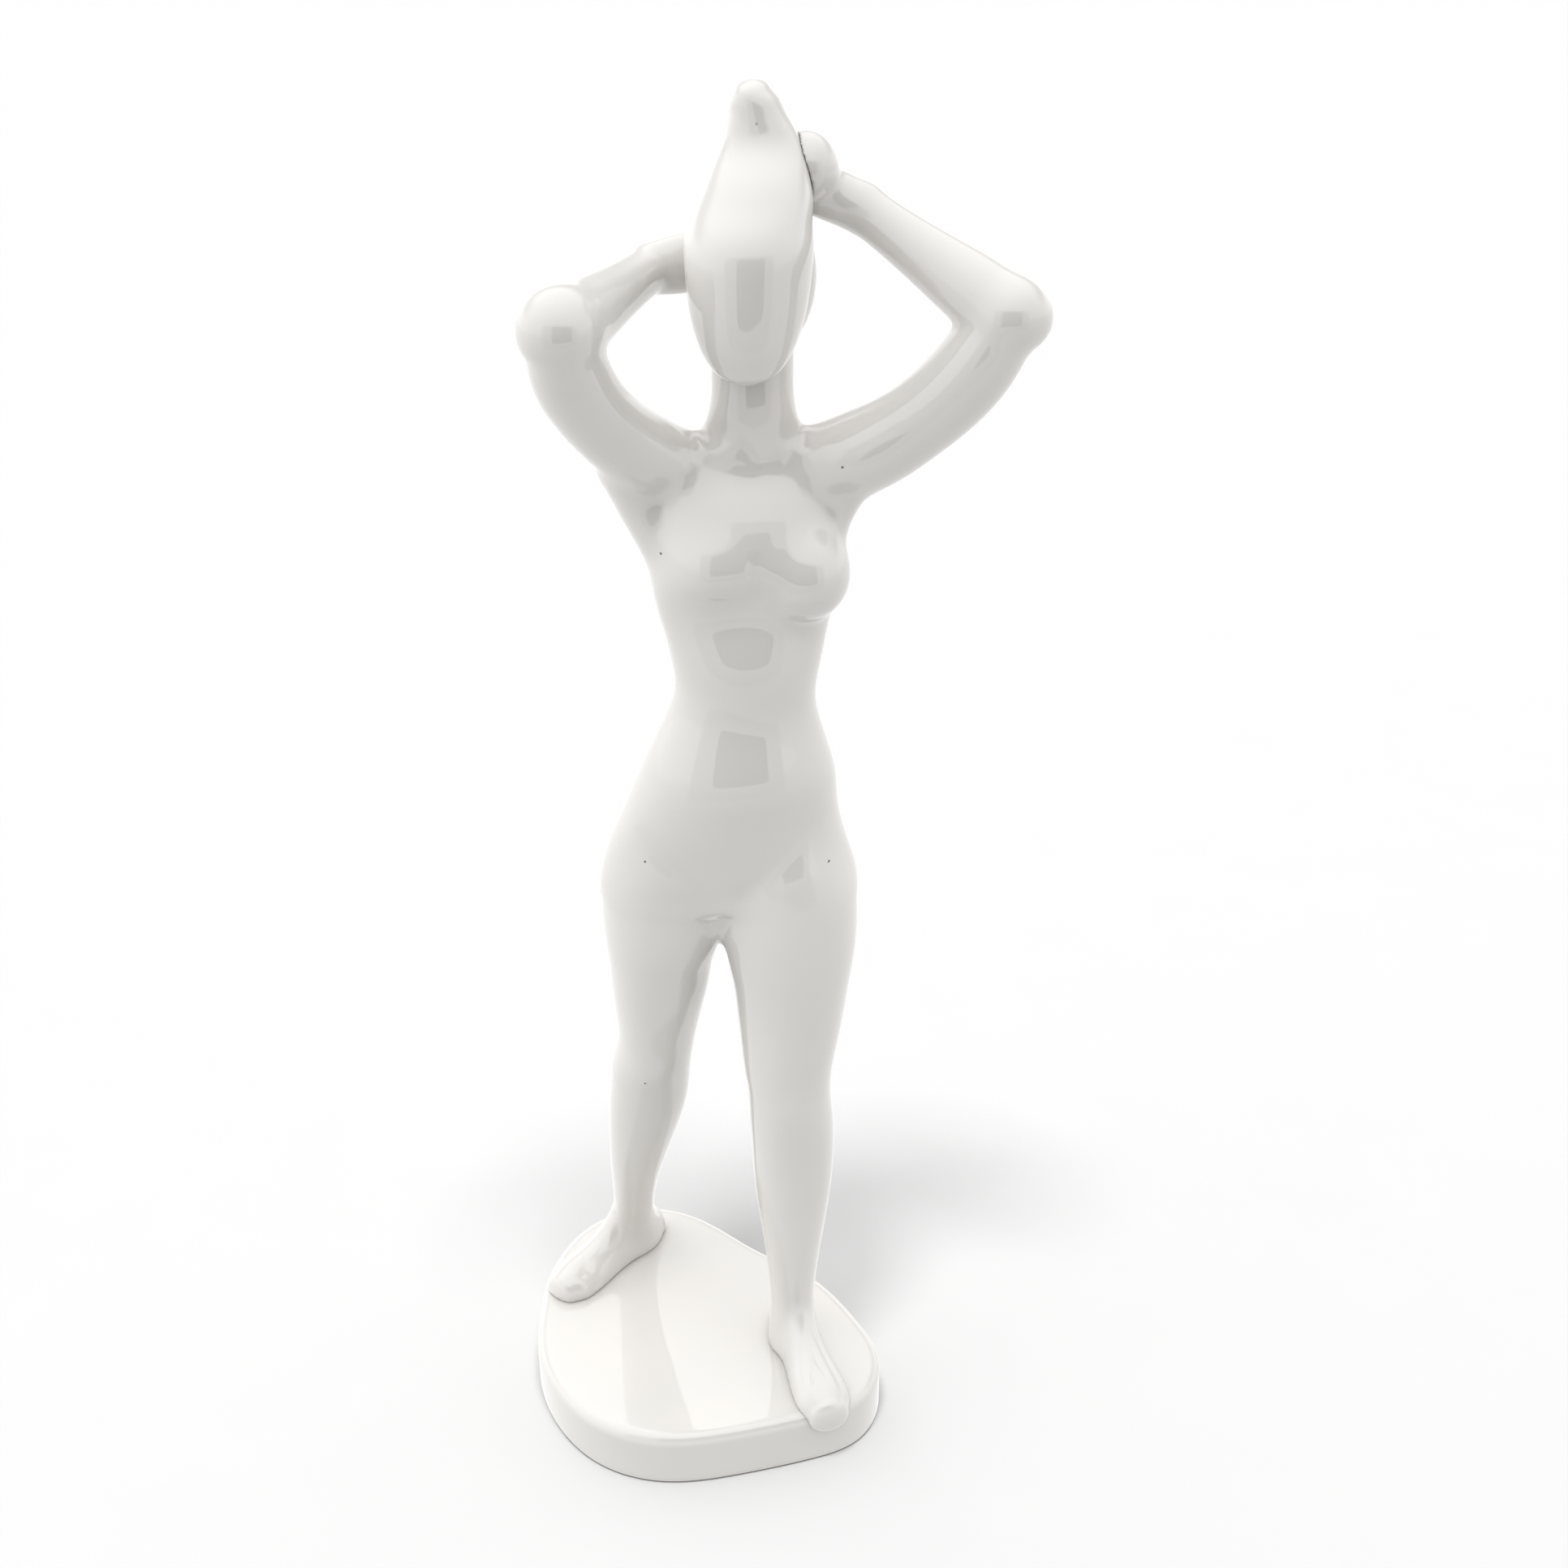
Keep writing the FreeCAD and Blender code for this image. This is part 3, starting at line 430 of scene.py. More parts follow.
def sculpt_arms(clay):
    """Upper arms, forearms and hands; a profile row is (share of the bone, half size, half size)."""
    upper = [(-0.24, 5.6, 5.2), (0, 7.9, 7.9), (0.3, 7.6, 7.6), (0.6, 7.5, 7.4), (0.85, 7.8, 7.4),
             (1, 7.2, 6.8)]
    thick = [(-0.2, 6.6, 6), (0, 8.6, 8.6), (0.3, 8, 7.9), (0.6, 7.8, 7.6), (0.85, 7.6, 7.5), (1, 6.9, 6.9)]
    lower = [(0, 6.9, 6.9), (0.2, 6.8, 6.6), (0.45, 5.9, 5.7), (0.7, 5, 4.9), (0.9, 4.6, 4.5), (1, 4.6, 4.5)]
    clay.limb((-5, 1.5, 231), (-21.4, -19.5, 260.8), upper, bow=(-3.2, 1, -3.4))
    clay.limb((-21.2, -19.5, 260.8), (-7, 10, 266), lower, blend=3)
    clay.lump((-21.2, -19.2, 261.8), (6.0, 5.9, 5.8), blend=6)
    clay.limb((30, 3.2, 231), (60, -5, 260.4), thick, bow=(1.2, 0, -4.3))
    clay.limb((59.6, -5, 260.6), (33, 9, 277.4), lower, blend=3)
    clay.lump((61.2, -4.8, 260.4), (6.9, 6.4, 6.2), (0, 20, 0), 3)
    clay.limb((-7.6, 9.6, 265.8), (13.4, 16.4, 268.2), [
        (0.0, 4.5, 3.8), (0.14, 5.2, 4.1), (0.45, 5.6, 3.9), (0.85, 5.2, 3.2), (1.1, 3.6, 2.3)], blend=1.5)
    clay.limb((33.2, 9, 277.2), (25.6, 9.8, 280.4), [(0, 4.6, 4.5), (0.5, 4.8, 4.6), (1, 5, 4.8)], blend=1.5)
    clay.lump((22.9, 6.6, 285.2), (5.6, 5.4, 6.2), (0, -12, 0), blend=3)


def sculpt_shoulders(clay):
    """The broad muscles that run from the ribs and the shoulder blades up into the raised arms."""
    clay.limb((-13.2, 1, 230), (1.5, 2.0, 201), [(0, 4.8, 5.5), (0.5, 5, 6), (1, 4, 4.5)], blend=6)
    clay.limb((33, 3, 229), (20, 3.0, 204), [(0, 3.6, 4.6), (0.5, 4, 5), (1, 4, 4.5)], blend=6)


def sculpt_head(clay):
    """The smooth mask of the head, which runs up into the gathered tail of the hair."""
    clay.column([
        (248.9, 11.4, -9.6, 1.6, 1.6, 2.2, -12),
        (249.6, 11.5, -9.2, 3.9, 3.2, 4.5, -12),
        (251, 11.6, -8.0, 6.2, 5.2, 7, -12),
        (254, 11.7, -6.2, 8.4, 8.2, 9.6, -12),
        (258, 11.8, -4.5, 10, 10.6, 11.2, -12),
        (262, 11.9, -3.4, 11, 11.9, 11.8, -12),
        (267, 12.0, -2.6, 11.6, 12.7, 11.8, -12),
        (271, 12.1, -2.0, 11.9, 13, 11.6, -12),
        (274, 12.2, -1.4, 11.8, 12.7, 11.3, -12),
        (276.5, 12.5, -0.6, 11.3, 11.9, 10.8, -12),
        (280, 13.3, 0.9, 10.6, 10, 10, -12),
        (284, 14.0, 2.6, 9.3, 7.7, 8.6, -12),
        (288, 14.5, 4.6, 7.9, 4.7, 7.0, -12),
        (290.5, 14.5, 5.7, 6.9, 4.1, 6.1, -12),
        (292.5, 14.2, 6.4, 6.1, 4.4, 5.3, -12),
        (295, 13.7, 7.0, 5.1, 4.7, 4.6, -12),
        (297.5, 13.2, 7.5, 4.1, 4.8, 3.9, -12),
        (TOP - 1.2, 12.9, 7.8, 3.1, 4.2, 3.4, -12),
        (TOP - 0.4, 13.0, 7.9, 2.4, 2.8, 2.7, -12),
        (TOP, 13.0, 8.0, 1.4, 1.6, 1.6, -12),
    ])


def sculpt_hair(clay):
    """The hair behind the mask, drawn up to the gathered lock that the left hand holds."""
    clay.lump((14.3, 6, 265.6), (10.4, 9.3, 15.2))
    clay.lump((19.4, 8.2, 283.6), (5.4, 6, 7), blend=3)


def detail_body(clay):
    """The folds, hollows and ridges that the mould gives the body."""
    clay.stroke([(-0.6, -10.6, 208.6), (3.5, -12.2, 206.8), (8, -12.4, 206.2), (12.4, -12, 207.2)], 0.8, 0.5)
    clay.stroke([(18.5, -11.4, 205.4), (22, -11, 204.6), (25.5, -9.4, 205), (28.4, -7, 206.4)], 0.8, 0.4)
    clay.stroke([(13.0, -12.3, 217), (13.6, -12.8, 211.5), (13.6, -11.6, 205.5)], 1.7, 0.9)
    clay.stroke([(14.5, -5.6, 231.2), (8, -5.4, 233.6), (1, -3.6, 236), (-6, -1, 238)], 1.6, -0.4)
    clay.stroke([(16.5, -5.4, 231.2), (22, -4.4, 233.8), (27, -2.6, 236)], 1.6, -0.3)
    clay.swell((15.4, -6, 232.6), (2.2, 3, 2.6), -0.4)
    clay.swell((6, -4, 238), (3.5, 3.5, 2.4), -0.6)
    clay.swell((20.5, -3.6, 237.6), (3, 3.5, 2.4), -0.6)
    clay.swell((-5.4, -5, 226.6), (3.4, 3, 6), -0.4, (0, 20, 0))
    clay.swell((18.5, -11.5, 203), (5, 4, 6), 0.8)
    clay.swell((23, -7, 232), (5, 5, 4), -0.6)
    clay.swell((31, -4, 226.5), (3, 3, 4.6), -0.3, (0, -20, 0))
    clay.stroke([(-13, -11.5, 156), (-7, -13.2, 150.5), (0, -13.4, 144.5), (6.4, -11.4, 138.6)], 2.6, 0.8)
    clay.stroke([(26.5, -11.5, 157), (21, -13.2, 151), (15, -13.4, 144.8), (7.4, -11.4, 138.6)], 2.6, 0.8)
    clay.stroke([(6.0, -10.0, 135), (5.7, -8.9, 131.5), (5.5, -7.0, 128), (5.4, -4, 125)], 1.3, 0.7)
    spine = [(12, 13.4, 222), (11.3, 12.8, 205), (10.6, 9.6, 185), (8.6, 11.6, 162), (7, 15, 150)]
    clay.stroke(spine, 2.2, 0.9)
    clay.stroke([(6.6, 17.5, 150), (6.6, 20, 141), (6.6, 17.5, 131), (6.4, 14, 124)], 1.7, 2.2)
    clay.swell((1.5, 14, 217), (5, 3, 7), 1.1, (0, 14, 0))
    clay.swell((22.5, 13.6, 217), (5, 3, 7), 1.1, (0, -14, 0))


def detail_legs(clay):
    """Kneecaps, and the dents beside the feet's arches."""
    clay.swell((-12.6, -1.6, 86.5), (3.6, 3, 5), 0.35)
    clay.swell((19.8, -17, 86), (3.8, 3, 5), 0.25)
    clay.swell((-31.5, 8.6, 20), (2.6, 2, 2.4), -0.5, (0, 0, -42))
    clay.swell((26.4, -29.0, 19.6), (1.8, 5, 2.4), -0.6, (0, 0, 19))


# ---------------------------------------------------------------- the plinth

OUTLINE = [
    (-15, 40), (4, 30.2), (28, 11.4), (37.6, -3), (41.4, -13), (40.6, -21.4), (36.2, -28.6), (25.4, -34.2),
    (6, -39.4), (-10, -41), (-25.2, -35.6), (-36.6, -22.8), (-41.8, -8), (-42.3, 0), (-42.2, 8.8),
    (-38.8, 24), (-28.6, 36.8),
]
PLINTH_EDGE = 2.8  # radius of the upper edge
PLINTH_WALL = 4.0
EDGE_STEPS = 14
RING_COUNT = 480


def plinth_radius(angle):
    """The plan of the plinth as a distance from its middle, for angles in radians."""
    knots = sorted((math.atan2(y, x), math.hypot(x, y)) for x, y in OUTLINE)
    before = [(a - math.tau, r) for a, r in knots[-4:]]
    after = [(a + math.tau, r) for a, r in knots[:4]]
    angles, reaches = zip(*before, *knots, *after)
    return spline(angles, reaches, angle)


def plinth_distance(x, y, z):
    """How far a point is outside the plinth, whose upper edge is rounded."""
    angle, reach = np.arctan2(y, x), np.hypot(x, y)
    radius = plinth_radius(angle)
    lean = (plinth_radius(angle + 0.01) - plinth_radius(angle - 0.01)) / (0.02 * radius)
    out = (reach - radius) / np.sqrt(1 + lean ** 2) + PLINTH_EDGE
    up = z - DECK + PLINTH_EDGE
    return np.hypot(np.maximum(out, 0), np.maximum(up, 0)) + np.minimum(np.maximum(out, up), 0) - PLINTH_EDGE


def plinth_rows():
    """The section of the plinth from the ceiling of its hollow, round its foot rim and wall, to the deck."""
    wall = PLINTH_WALL
    rows = [(7, 9.6), (5.2, 9.2), (wall + 0.3, 8), (wall, 5), (wall, 1.2), (wall - 0.2, 0.5)]
    rows += [(wall - 0.7, 0), (1.3, 0), (0.75, 0.12), (0.32, 0.45), (0.08, 0.95)]
    rows += [(0, 1.6), (0, 4), (0, 7), (0, DECK - PLINTH_EDGE)]
    for step in range(1, EDGE_STEPS + 1):
        turn = math.pi / 2 * step / EDGE_STEPS
        rows.append((PLINTH_EDGE * (1 - math.cos(turn)), DECK - PLINTH_EDGE * (1 - math.sin(turn))))
    return rows + [(PLINTH_EDGE + 0.6, DECK), (5.2, DECK), (8, DECK), (12, DECK)]


def plinth_shape():
    """The plinth as (points, triangles): rings set in from its outline, closed over hollow and deck."""
    count = RING_COUNT
    angles = math.tau * np.arange(count) / count - math.pi
    radius = plinth_radius(angles)
    plan = np.stack([radius * np.cos(angles), radius * np.sin(angles)], axis=1)
    along = np.roll(plan, -1, 0) - np.roll(plan, 1, 0)
    inward = np.stack([-along[:, 1], along[:, 0]], axis=1) / np.linalg.norm(along, axis=1)[:, None]
    rings = [np.column_stack([plan + inward * inset, np.full(count, up)]) for inset, up in plinth_rows()]
    first, last = rings[0], rings[-1]
    ceiling_rings = [first * (share, share, 1) for share in (0.1, 0.4, 0.7)]
    deck_rings = [last * (share, share, 1) for share in (0.9, 0.8, 0.65, 0.5, 0.35, 0.2, 0.1)]
    rings = ceiling_rings + rings + deck_rings
    points = np.concatenate(rings + [[[0, 0, first[0, 2]]], [[0, 0, DECK]]])
    step = np.arange(count)
    after = (step + 1) % count
    faces = []
    for ring in range(len(rings) - 1):
        a, b = ring * count, (ring + 1) * count
        faces.append(np.stack([a + step, a + after, b + after, b + step], axis=1))
    quads = np.concatenate(faces)
    ceiling, deck = len(points) - 2, len(points) - 1
    final = (len(rings) - 1) * count
    fans = np.concatenate([
        np.stack([np.full(count, ceiling), after, step], axis=1),
        np.stack([final + step, final + after, np.full(count, deck)], axis=1)])
    return points, np.concatenate([quads[:, [0, 1, 2]], quads[:, [0, 2, 3]], fans])


# ---------------------------------------------------------------- from clay to castings

FIGURE_BOX = (-44, -44, DECK - 9), (75, 42, TOP + 4)
THIGHS_BLEND, HIPS_BLEND, SHOULDERS_BLEND = 2.2, 6.0, 7.0
JOINT_GAP = 0.04   # between pieces that only touch: mask, hair and hands
SNAP = 1e-5        # a cut that passes nearer to a point than this goes through it
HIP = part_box("right_hip_seam")
HIP_LEVEL = ((HIP[0] + HIP[1]) / 2 - MIDDLE).z / MM
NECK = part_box("neck_seam")
NECK_LEVEL = ((NECK[0] + NECK[1]) / 2 - MIDDLE).z / MM
BETWEEN_LEGS = 5.2
BETWEEN_HANDS = 19
ARMS_FROM, HANDS_FROM = 200, 255  # no arm and no hand is below these levels
RIGHT_OF_CHEST, LEFT_OF_CHEST = -1.5, 25.5
WRISTS = joint_plane("right_wrist_seam", (1, 1, 0)), joint_plane("left_wrist_seam", (-1, 0, 0))
SHOULDERS = joint_plane("right_shoulder_seam", (-1, 0, 1)), joint_plane("left_shoulder_seam", (1, 0, 1))


WRISTS_FROM, WRISTS_APART = 250, 20  # no wrist is below the one, and the other is between them


def past_wrists(x, y, z):
    """How far a point is past the wrist on its side."""
    sides = [(x - c[0]) * n[0] + (y - c[1]) * n[1] + (z - c[2]) * n[2] for c, n in WRISTS]
    return np.where(z > WRISTS_FROM, np.where(x < WRISTS_APART, *sides), -FAR_OUT).astype(np.float32)


def sculpt_figure():
    """The clay of the body with its arms and head, of the hands, and of the hair."""
    legs, right, body, arms, head, hair = (Clay(*FIGURE_BOX) for _ in range(6))
    sculpt_left_leg(legs)
    sculpt_right_leg(right)
    legs.field = soft_min(legs.field, right.field, THIGHS_BLEND)
    sculpt_foot(legs, (-20.9, 24.6), -42, 0)
    sculpt_foot(legs, (21.0, -10), 19, 1.2)
    sculpt_trunk(body)
    body.field = soft_min(body.field, legs.field, HIPS_BLEND)
    sculpt_neck(body)
    sculpt_arms(arms)
    past = past_wrists(*body.everywhere()[1:])
    hands = arms.copy()
    hands.field = np.maximum(arms.field, -past - WRIST_SPARE)
    body.field = soft_min(body.field, np.maximum(arms.field, past - WRIST_SPARE), SHOULDERS_BLEND)
    sculpt_shoulders(body)
    detail_body(body)
    detail_legs(body)
    sculpt_head(head)
    sculpt_hair(hair)
    for clay in (body, hands, head, hair):
        clay.smooth()
    cut, x, y, z = body.window(FIGURE_BOX[0], (*FIGURE_BOX[1][:2], DECK + 2))
    body.field[cut] = np.maximum(body.field[cut], -plinth_distance(x, y, z).astype(np.float32))
    body.field = np.minimum(body.field, head.field)
    hair.field = np.maximum(hair.field, JOINT_GAP - body.field)
    hands.field = np.maximum(hands.field, JOINT_GAP - np.minimum(head.field, hair.field))
    return body, hands, hair


def cut_skin(points, quads, planes):
    """Cuts a skin's faces where (centre, normal, reach) planes cross it; returns points and triangles."""
    mesh = bpy.data.meshes.new("skin")
    mesh.from_pydata(points, [], quads)
    work = bmesh.new()
    work.from_mesh(mesh)
    bpy.data.meshes.remove(mesh)
    work.faces.ensure_lookup_table()
    middles = points[quads].mean(1)
    chosen = []
    for centre, normal, reach in planes:
        near = np.linalg.norm(middles - centre, axis=1) < reach
        near &= np.abs((middles - centre) @ np.asarray(normal, float)) < 3 * GRID_STEP
        chosen.append([work.faces[i] for i in np.flatnonzero(near)])
    for (centre, normal, _), faces in zip(planes, chosen):
        edges = dict.fromkeys(edge for face in faces for edge in face.edges)
        corners = dict.fromkeys(corner for face in faces for corner in face.verts)
        geometry = [*faces, *edges, *corners]
        bmesh.ops.bisect_plane(work, geom=geometry, dist=SNAP, plane_co=centre, plane_no=normal)
    bmesh.ops.triangulate(work, faces=work.faces[:])
    result = bpy.data.meshes.new("skin")
    work.to_mesh(result)
    work.free()
    places = np.empty(len(result.vertices) * 3, np.float32)
    result.vertices.foreach_get("co", places)
    corners = np.empty(len(result.loops), np.int32)
    result.loops.foreach_get("vertex_index", corners)
    bpy.data.meshes.remove(result)
    return places.reshape(-1, 3).astype(float), corners.reshape(-1, 3)


def closed(points, faces):
    """Closes each open edge loop with a fan; returns the points, the faces and how many are fans'."""
    ahead = np.concatenate([faces[:, [i, (i + 1) % 3]] for i in range(3)])
    code = ahead[:, 0].astype(np.int64) * (len(points) + 1) + ahead[:, 1]
    back = ahead[:, 1].astype(np.int64) * (len(points) + 1) + ahead[:, 0]
    open_edges = ahead[~np.isin(code, back)]
    following = {int(a): int(b) for a, b in open_edges}
    caps, middles = [], []
    while following:
        start, at = next(iter(following.items()))
        loop = [start]
        del following[start]
        while at != start and at in following:
            loop.append(at)
            at = following.pop(at)
        middle = len(points) + len(middles)
        middles.append(points[loop].mean(0))
        caps += [(b, a, middle) for a, b in zip(loop, loop[1:] + loop[:1])]
    if not caps:
        return points, faces, 0
    return np.vstack([points, middles]), np.vstack([faces, caps]), len(caps)


def make_piece(name, points, faces, nodes, clay=None, caps=0):
    """A casting that stands for CAD nodes; its last faces may be the flat caps of its joints."""
    mesh = bpy.data.meshes.new(name)
    places = points * MM + np.array(MIDDLE)
    mesh.vertices.add(len(places))
    mesh.vertices.foreach_set("co", places.astype(np.float32).ravel())
    mesh.loops.add(faces.size)
    mesh.loops.foreach_set("vertex_index", faces.astype(np.int32).ravel())
    mesh.polygons.add(len(faces))
    mesh.polygons.foreach_set("loop_start", np.arange(0, faces.size, 3, dtype=np.int32))
    mesh.update(calc_edges=True)
    mesh.shade_smooth()
    if clay is not None:
        way = clay.slope(points)
        way /= np.maximum(np.linalg.norm(way, axis=1), GONE)[:, None]
        normals = way[faces.ravel()].reshape(-1, 3, 3)
        if caps:
            corner = points[faces[-caps:]]
            flat = np.cross(corner[:, 1] - corner[:, 0], corner[:, 2] - corner[:, 0])
            flat /= np.maximum(np.linalg.norm(flat, axis=1), GONE)[:, None]
            normals[-caps:] = flat[:, None, :]
        mesh.normals_split_custom_set(normals.reshape(-1, 3))
    piece = bpy.data.objects.new(name, mesh)
    bpy.context.scene.collection.objects.link(piece)
    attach(piece, "root")
    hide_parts(*nodes)
    return piece


CASTINGS = {
    "torso_casting": ("torso",),
    "head_casting": ("head", "neck_seam"),
    "right_leg_casting": ("right_leg", "right_hip_seam", "right_sole_seam"),
    "left_leg_casting": ("left_leg", "left_hip_seam", "left_sole_seam"),
    "right_arm_casting": ("right_arm", "right_shoulder_seam"),
    "left_arm_casting": ("left_arm", "left_shoulder_seam"),
    "right_hand_casting": ("right_hand", "right_wrist_seam", "right_hand_seam"),
    "left_hand_casting": ("left_hand", "left_wrist_seam", "left_hand_seam"),
    "hair_casting": ("hair", "hair_seam"),
    "plinth_casting": ("plinth",),
}


def casting_of(middles):
    """The name of the casting that each face of the body's skin is part of, or an empty name."""
    x, y, z = middles.T
    past = past_wrists(x, y, z)
    names = np.full(len(middles), "torso_casting", dtype="U24")
    names[z > NECK_LEVEL] = "head_casting"
    for side, (centre, normal) in zip(("right", "left"), SHOULDERS):
        out = (x < RIGHT_OF_CHEST if side == "right" else x > LEFT_OF_CHEST) & (z > ARMS_FROM)
        names[out] = "torso_casting"
        names[out & ((middles - centre) @ normal > 0)] = side + "_arm_casting"
        names[out & (past > 0) & (z > HANDS_FROM)] = ""
    names[(z < HIP_LEVEL) & (x < BETWEEN_LEGS)] = "right_leg_casting"
    names[(z < HIP_LEVEL) & (x > BETWEEN_LEGS)] = "left_leg_casting"
    return names


def make_castings():
    body, hands, hair = sculpt_figure()
    up, aside = (0, 0, 1), (1, 0, 0)
    wrists = [(centre, normal, 12) for centre, normal in WRISTS]
    planes = [
        ((-8.5, 3, HIP_LEVEL), up, 22), ((20, -2, HIP_LEVEL), up, 22),
        ((BETWEEN_LEGS, 0, HIP_LEVEL - 5), aside, 15), ((12.5, 2, NECK_LEVEL), up, 14),
        *[(centre, normal, 16) for centre, normal in SHOULDERS], *wrists,
    ]
    points, faces = cut_skin(*body.skin(), planes)
    names = casting_of(points[faces].mean(1))
    for name in sorted(set(names) - {""}):
        make_piece(name, *split_off(points, faces[names == name], CASTINGS[name], body))
    points, faces = cut_skin(*hands.skin(), wrists)
    middles = points[faces].mean(1)
    past, left = past_wrists(*middles.T) > 0, middles[:, 0] > BETWEEN_HANDS
    for name, side in (("right_hand_casting", ~left), ("left_hand_casting", left)):
        make_piece(name, *split_off(points, faces[side & past], CASTINGS[name], hands))
    points, faces = cut_skin(*hair.skin(), [])
    make_piece("hair_casting", *split_off(points, faces, CASTINGS["hair_casting"], hair))


def split_off(points, faces, nodes, clay):
    """The arguments of make_piece for some of the faces of a skin."""
    used, faces = np.unique(faces, return_inverse=True)
    points, faces, caps = closed(points[used], faces.reshape(-1, 3))
    return points, faces, nodes, clay, caps


make_castings()
make_piece("plinth_casting", *plinth_shape(), CASTINGS["plinth_casting"])


# ---------------------------------------------------------------- material nodes

def connect(tree, socket, value):
    """Sets a socket to a value, or links it to another node's output."""
    if isinstance(value, bpy.types.NodeSocket):
        tree.links.new(value, socket)
    else:
        socket.default_value = value


def node(tree, kind, inputs=None, **settings):
    """Adds a node; inputs are values or other nodes' outputs."""
    made = tree.nodes.new(kind)
    for key, value in settings.items():
        setattr(made, key, value)
    for key, value in (inputs or {}).items():
        connect(tree, made.inputs[key], value)
    return made


def calc(tree, operation, *values):
    return node(tree, "ShaderNodeMath", dict(enumerate(values)), operation=operation).outputs[0]


def ramp(tree, value, low, high, to_low=0.0, to_high=1.0):
    """Maps low..high of a value smoothly on to to_low..to_high."""
    made = node(tree, "ShaderNodeMapRange", {0: value, 1: low, 2: high, 3: to_low, 4: to_high},
                interpolation_type="SMOOTHSTEP")
    return made.outputs[0]


def length(tree, *sides):
    """The length of the vector that has these sides."""
    squares = [calc(tree, "MULTIPLY", side, side) for side in sides]
    return calc(tree, "SQRT", calc(tree, "ADD", *squares))


def mix(tree, share, first, second):
    """Between two numbers."""
    return node(tree, "ShaderNodeMix", {0: share, 2: first, 3: second}).outputs[0]


def mix_colours(tree, share, first, second):
    return node(tree, "ShaderNodeMix", {0: share, 6: first, 7: second}, data_type="RGBA").outputs[2]


def mix_shaders(tree, share, first, second):
    return node(tree, "ShaderNodeMixShader", {0: share, 1: first, 2: second}).outputs[0]


def noise(tree, scale, detail, where=None):
    inputs = {"Scale": scale, "Detail": detail}
    if where is not None:
        inputs["Vector"] = where
    return node(tree, "ShaderNodeTexNoise", inputs).outputs[0]


def bump(tree, height, strength, deep):
    inputs = {"Height": height, "Strength": strength, "Distance": deep * MM}
    return node(tree, "ShaderNodeBump", inputs).outputs[0]


def new_tree(name):
    """A new material and its empty node tree."""
    material = bpy.data.materials.new(name)
    material.use_nodes = True
    material.node_tree.nodes.clear()
    return material, material.node_tree


# ---------------------------------------------------------------- the glaze

WARM_WHITE, COOL_WHITE = (0.70, 0.68, 0.65, 1), (0.68, 0.665, 0.64, 1)
# grey for where surfaces are near: partly pooled glaze, partly painted shade in recesses and between parts
POOLED_GLAZE_AND_PAINTED_SHADE = (0.56, 0.54, 0.51, 1)
IRON = (0.09, 0.07, 0.05, 1)
# the foot rim's colour: bare clay, with its darkness a painted contact shadow along the floor
BARE_CLAY_AND_CONTACT_SHADOW = (0.16, 0.145, 0.13, 1)
GLAZE_IOR = 1.8
POOL_AND_SHADE_REACH = 3.5             # how near two surfaces are where the glaze pools and shade is painted between them
CLOUD_SCALE, FINE_SCALE = 28, 240
SPECKS = [(13.6, 293), (-5.5, 214.7), (-10.5, 148.8), (28, 147), (-13.4, 84.7), (29.7, 231.8)]
SPECK_EDGE, SPECK_CORE = 0.34, 0.16
SPECK_DEPTH = 4              # the specks are on the front: they end this far behind the middle
STRAY_SCALE, STRAY_FROM, STRAY_TONE = 75, 0.93, 0.6
# heights over the floor where the glaze gives way to the bare rim, which is darkened as a painted contact
# shadow
RIM_BARE_AND_SHADOWED, RIM_GLAZED = 0.45, 0.6


def speck_mask(tree, where, place):
    """1 on the iron specks of the glaze: six on the front, and a few stray ones anywhere."""
    marks = None
    for x, z in SPECKS:
        off_x = calc(tree, "SUBTRACT", place.outputs[0], MIDDLE.x + x * MM)
        off_z = calc(tree, "SUBTRACT", place.outputs[2], MIDDLE.z + z * MM)
        mark = ramp(tree, length(tree, off_x, off_z), SPECK_EDGE * MM, SPECK_CORE * MM)
        marks = mark if marks is None else calc(tree, "MAXIMUM", marks, mark)
    front = ramp(tree, place.outputs[1], MIDDLE.y + SPECK_DEPTH * MM, MIDDLE.y)
    cells = node(tree, "ShaderNodeTexVoronoi", {"Vector": where, "Scale": STRAY_SCALE})
    rare = node(tree, "ShaderNodeSeparateColor", {0: cells.outputs["Color"]}).outputs[0]
    dots = ramp(tree, cells.outputs["Distance"], 0.02, 0.01)
    stray = calc(tree, "MULTIPLY", dots, calc(tree, "GREATER_THAN", rare, STRAY_FROM))
    stray = calc(tree, "MULTIPLY", stray, STRAY_TONE)
    return calc(tree, "MAXIMUM", calc(tree, "MULTIPLY", marks, front), stray)


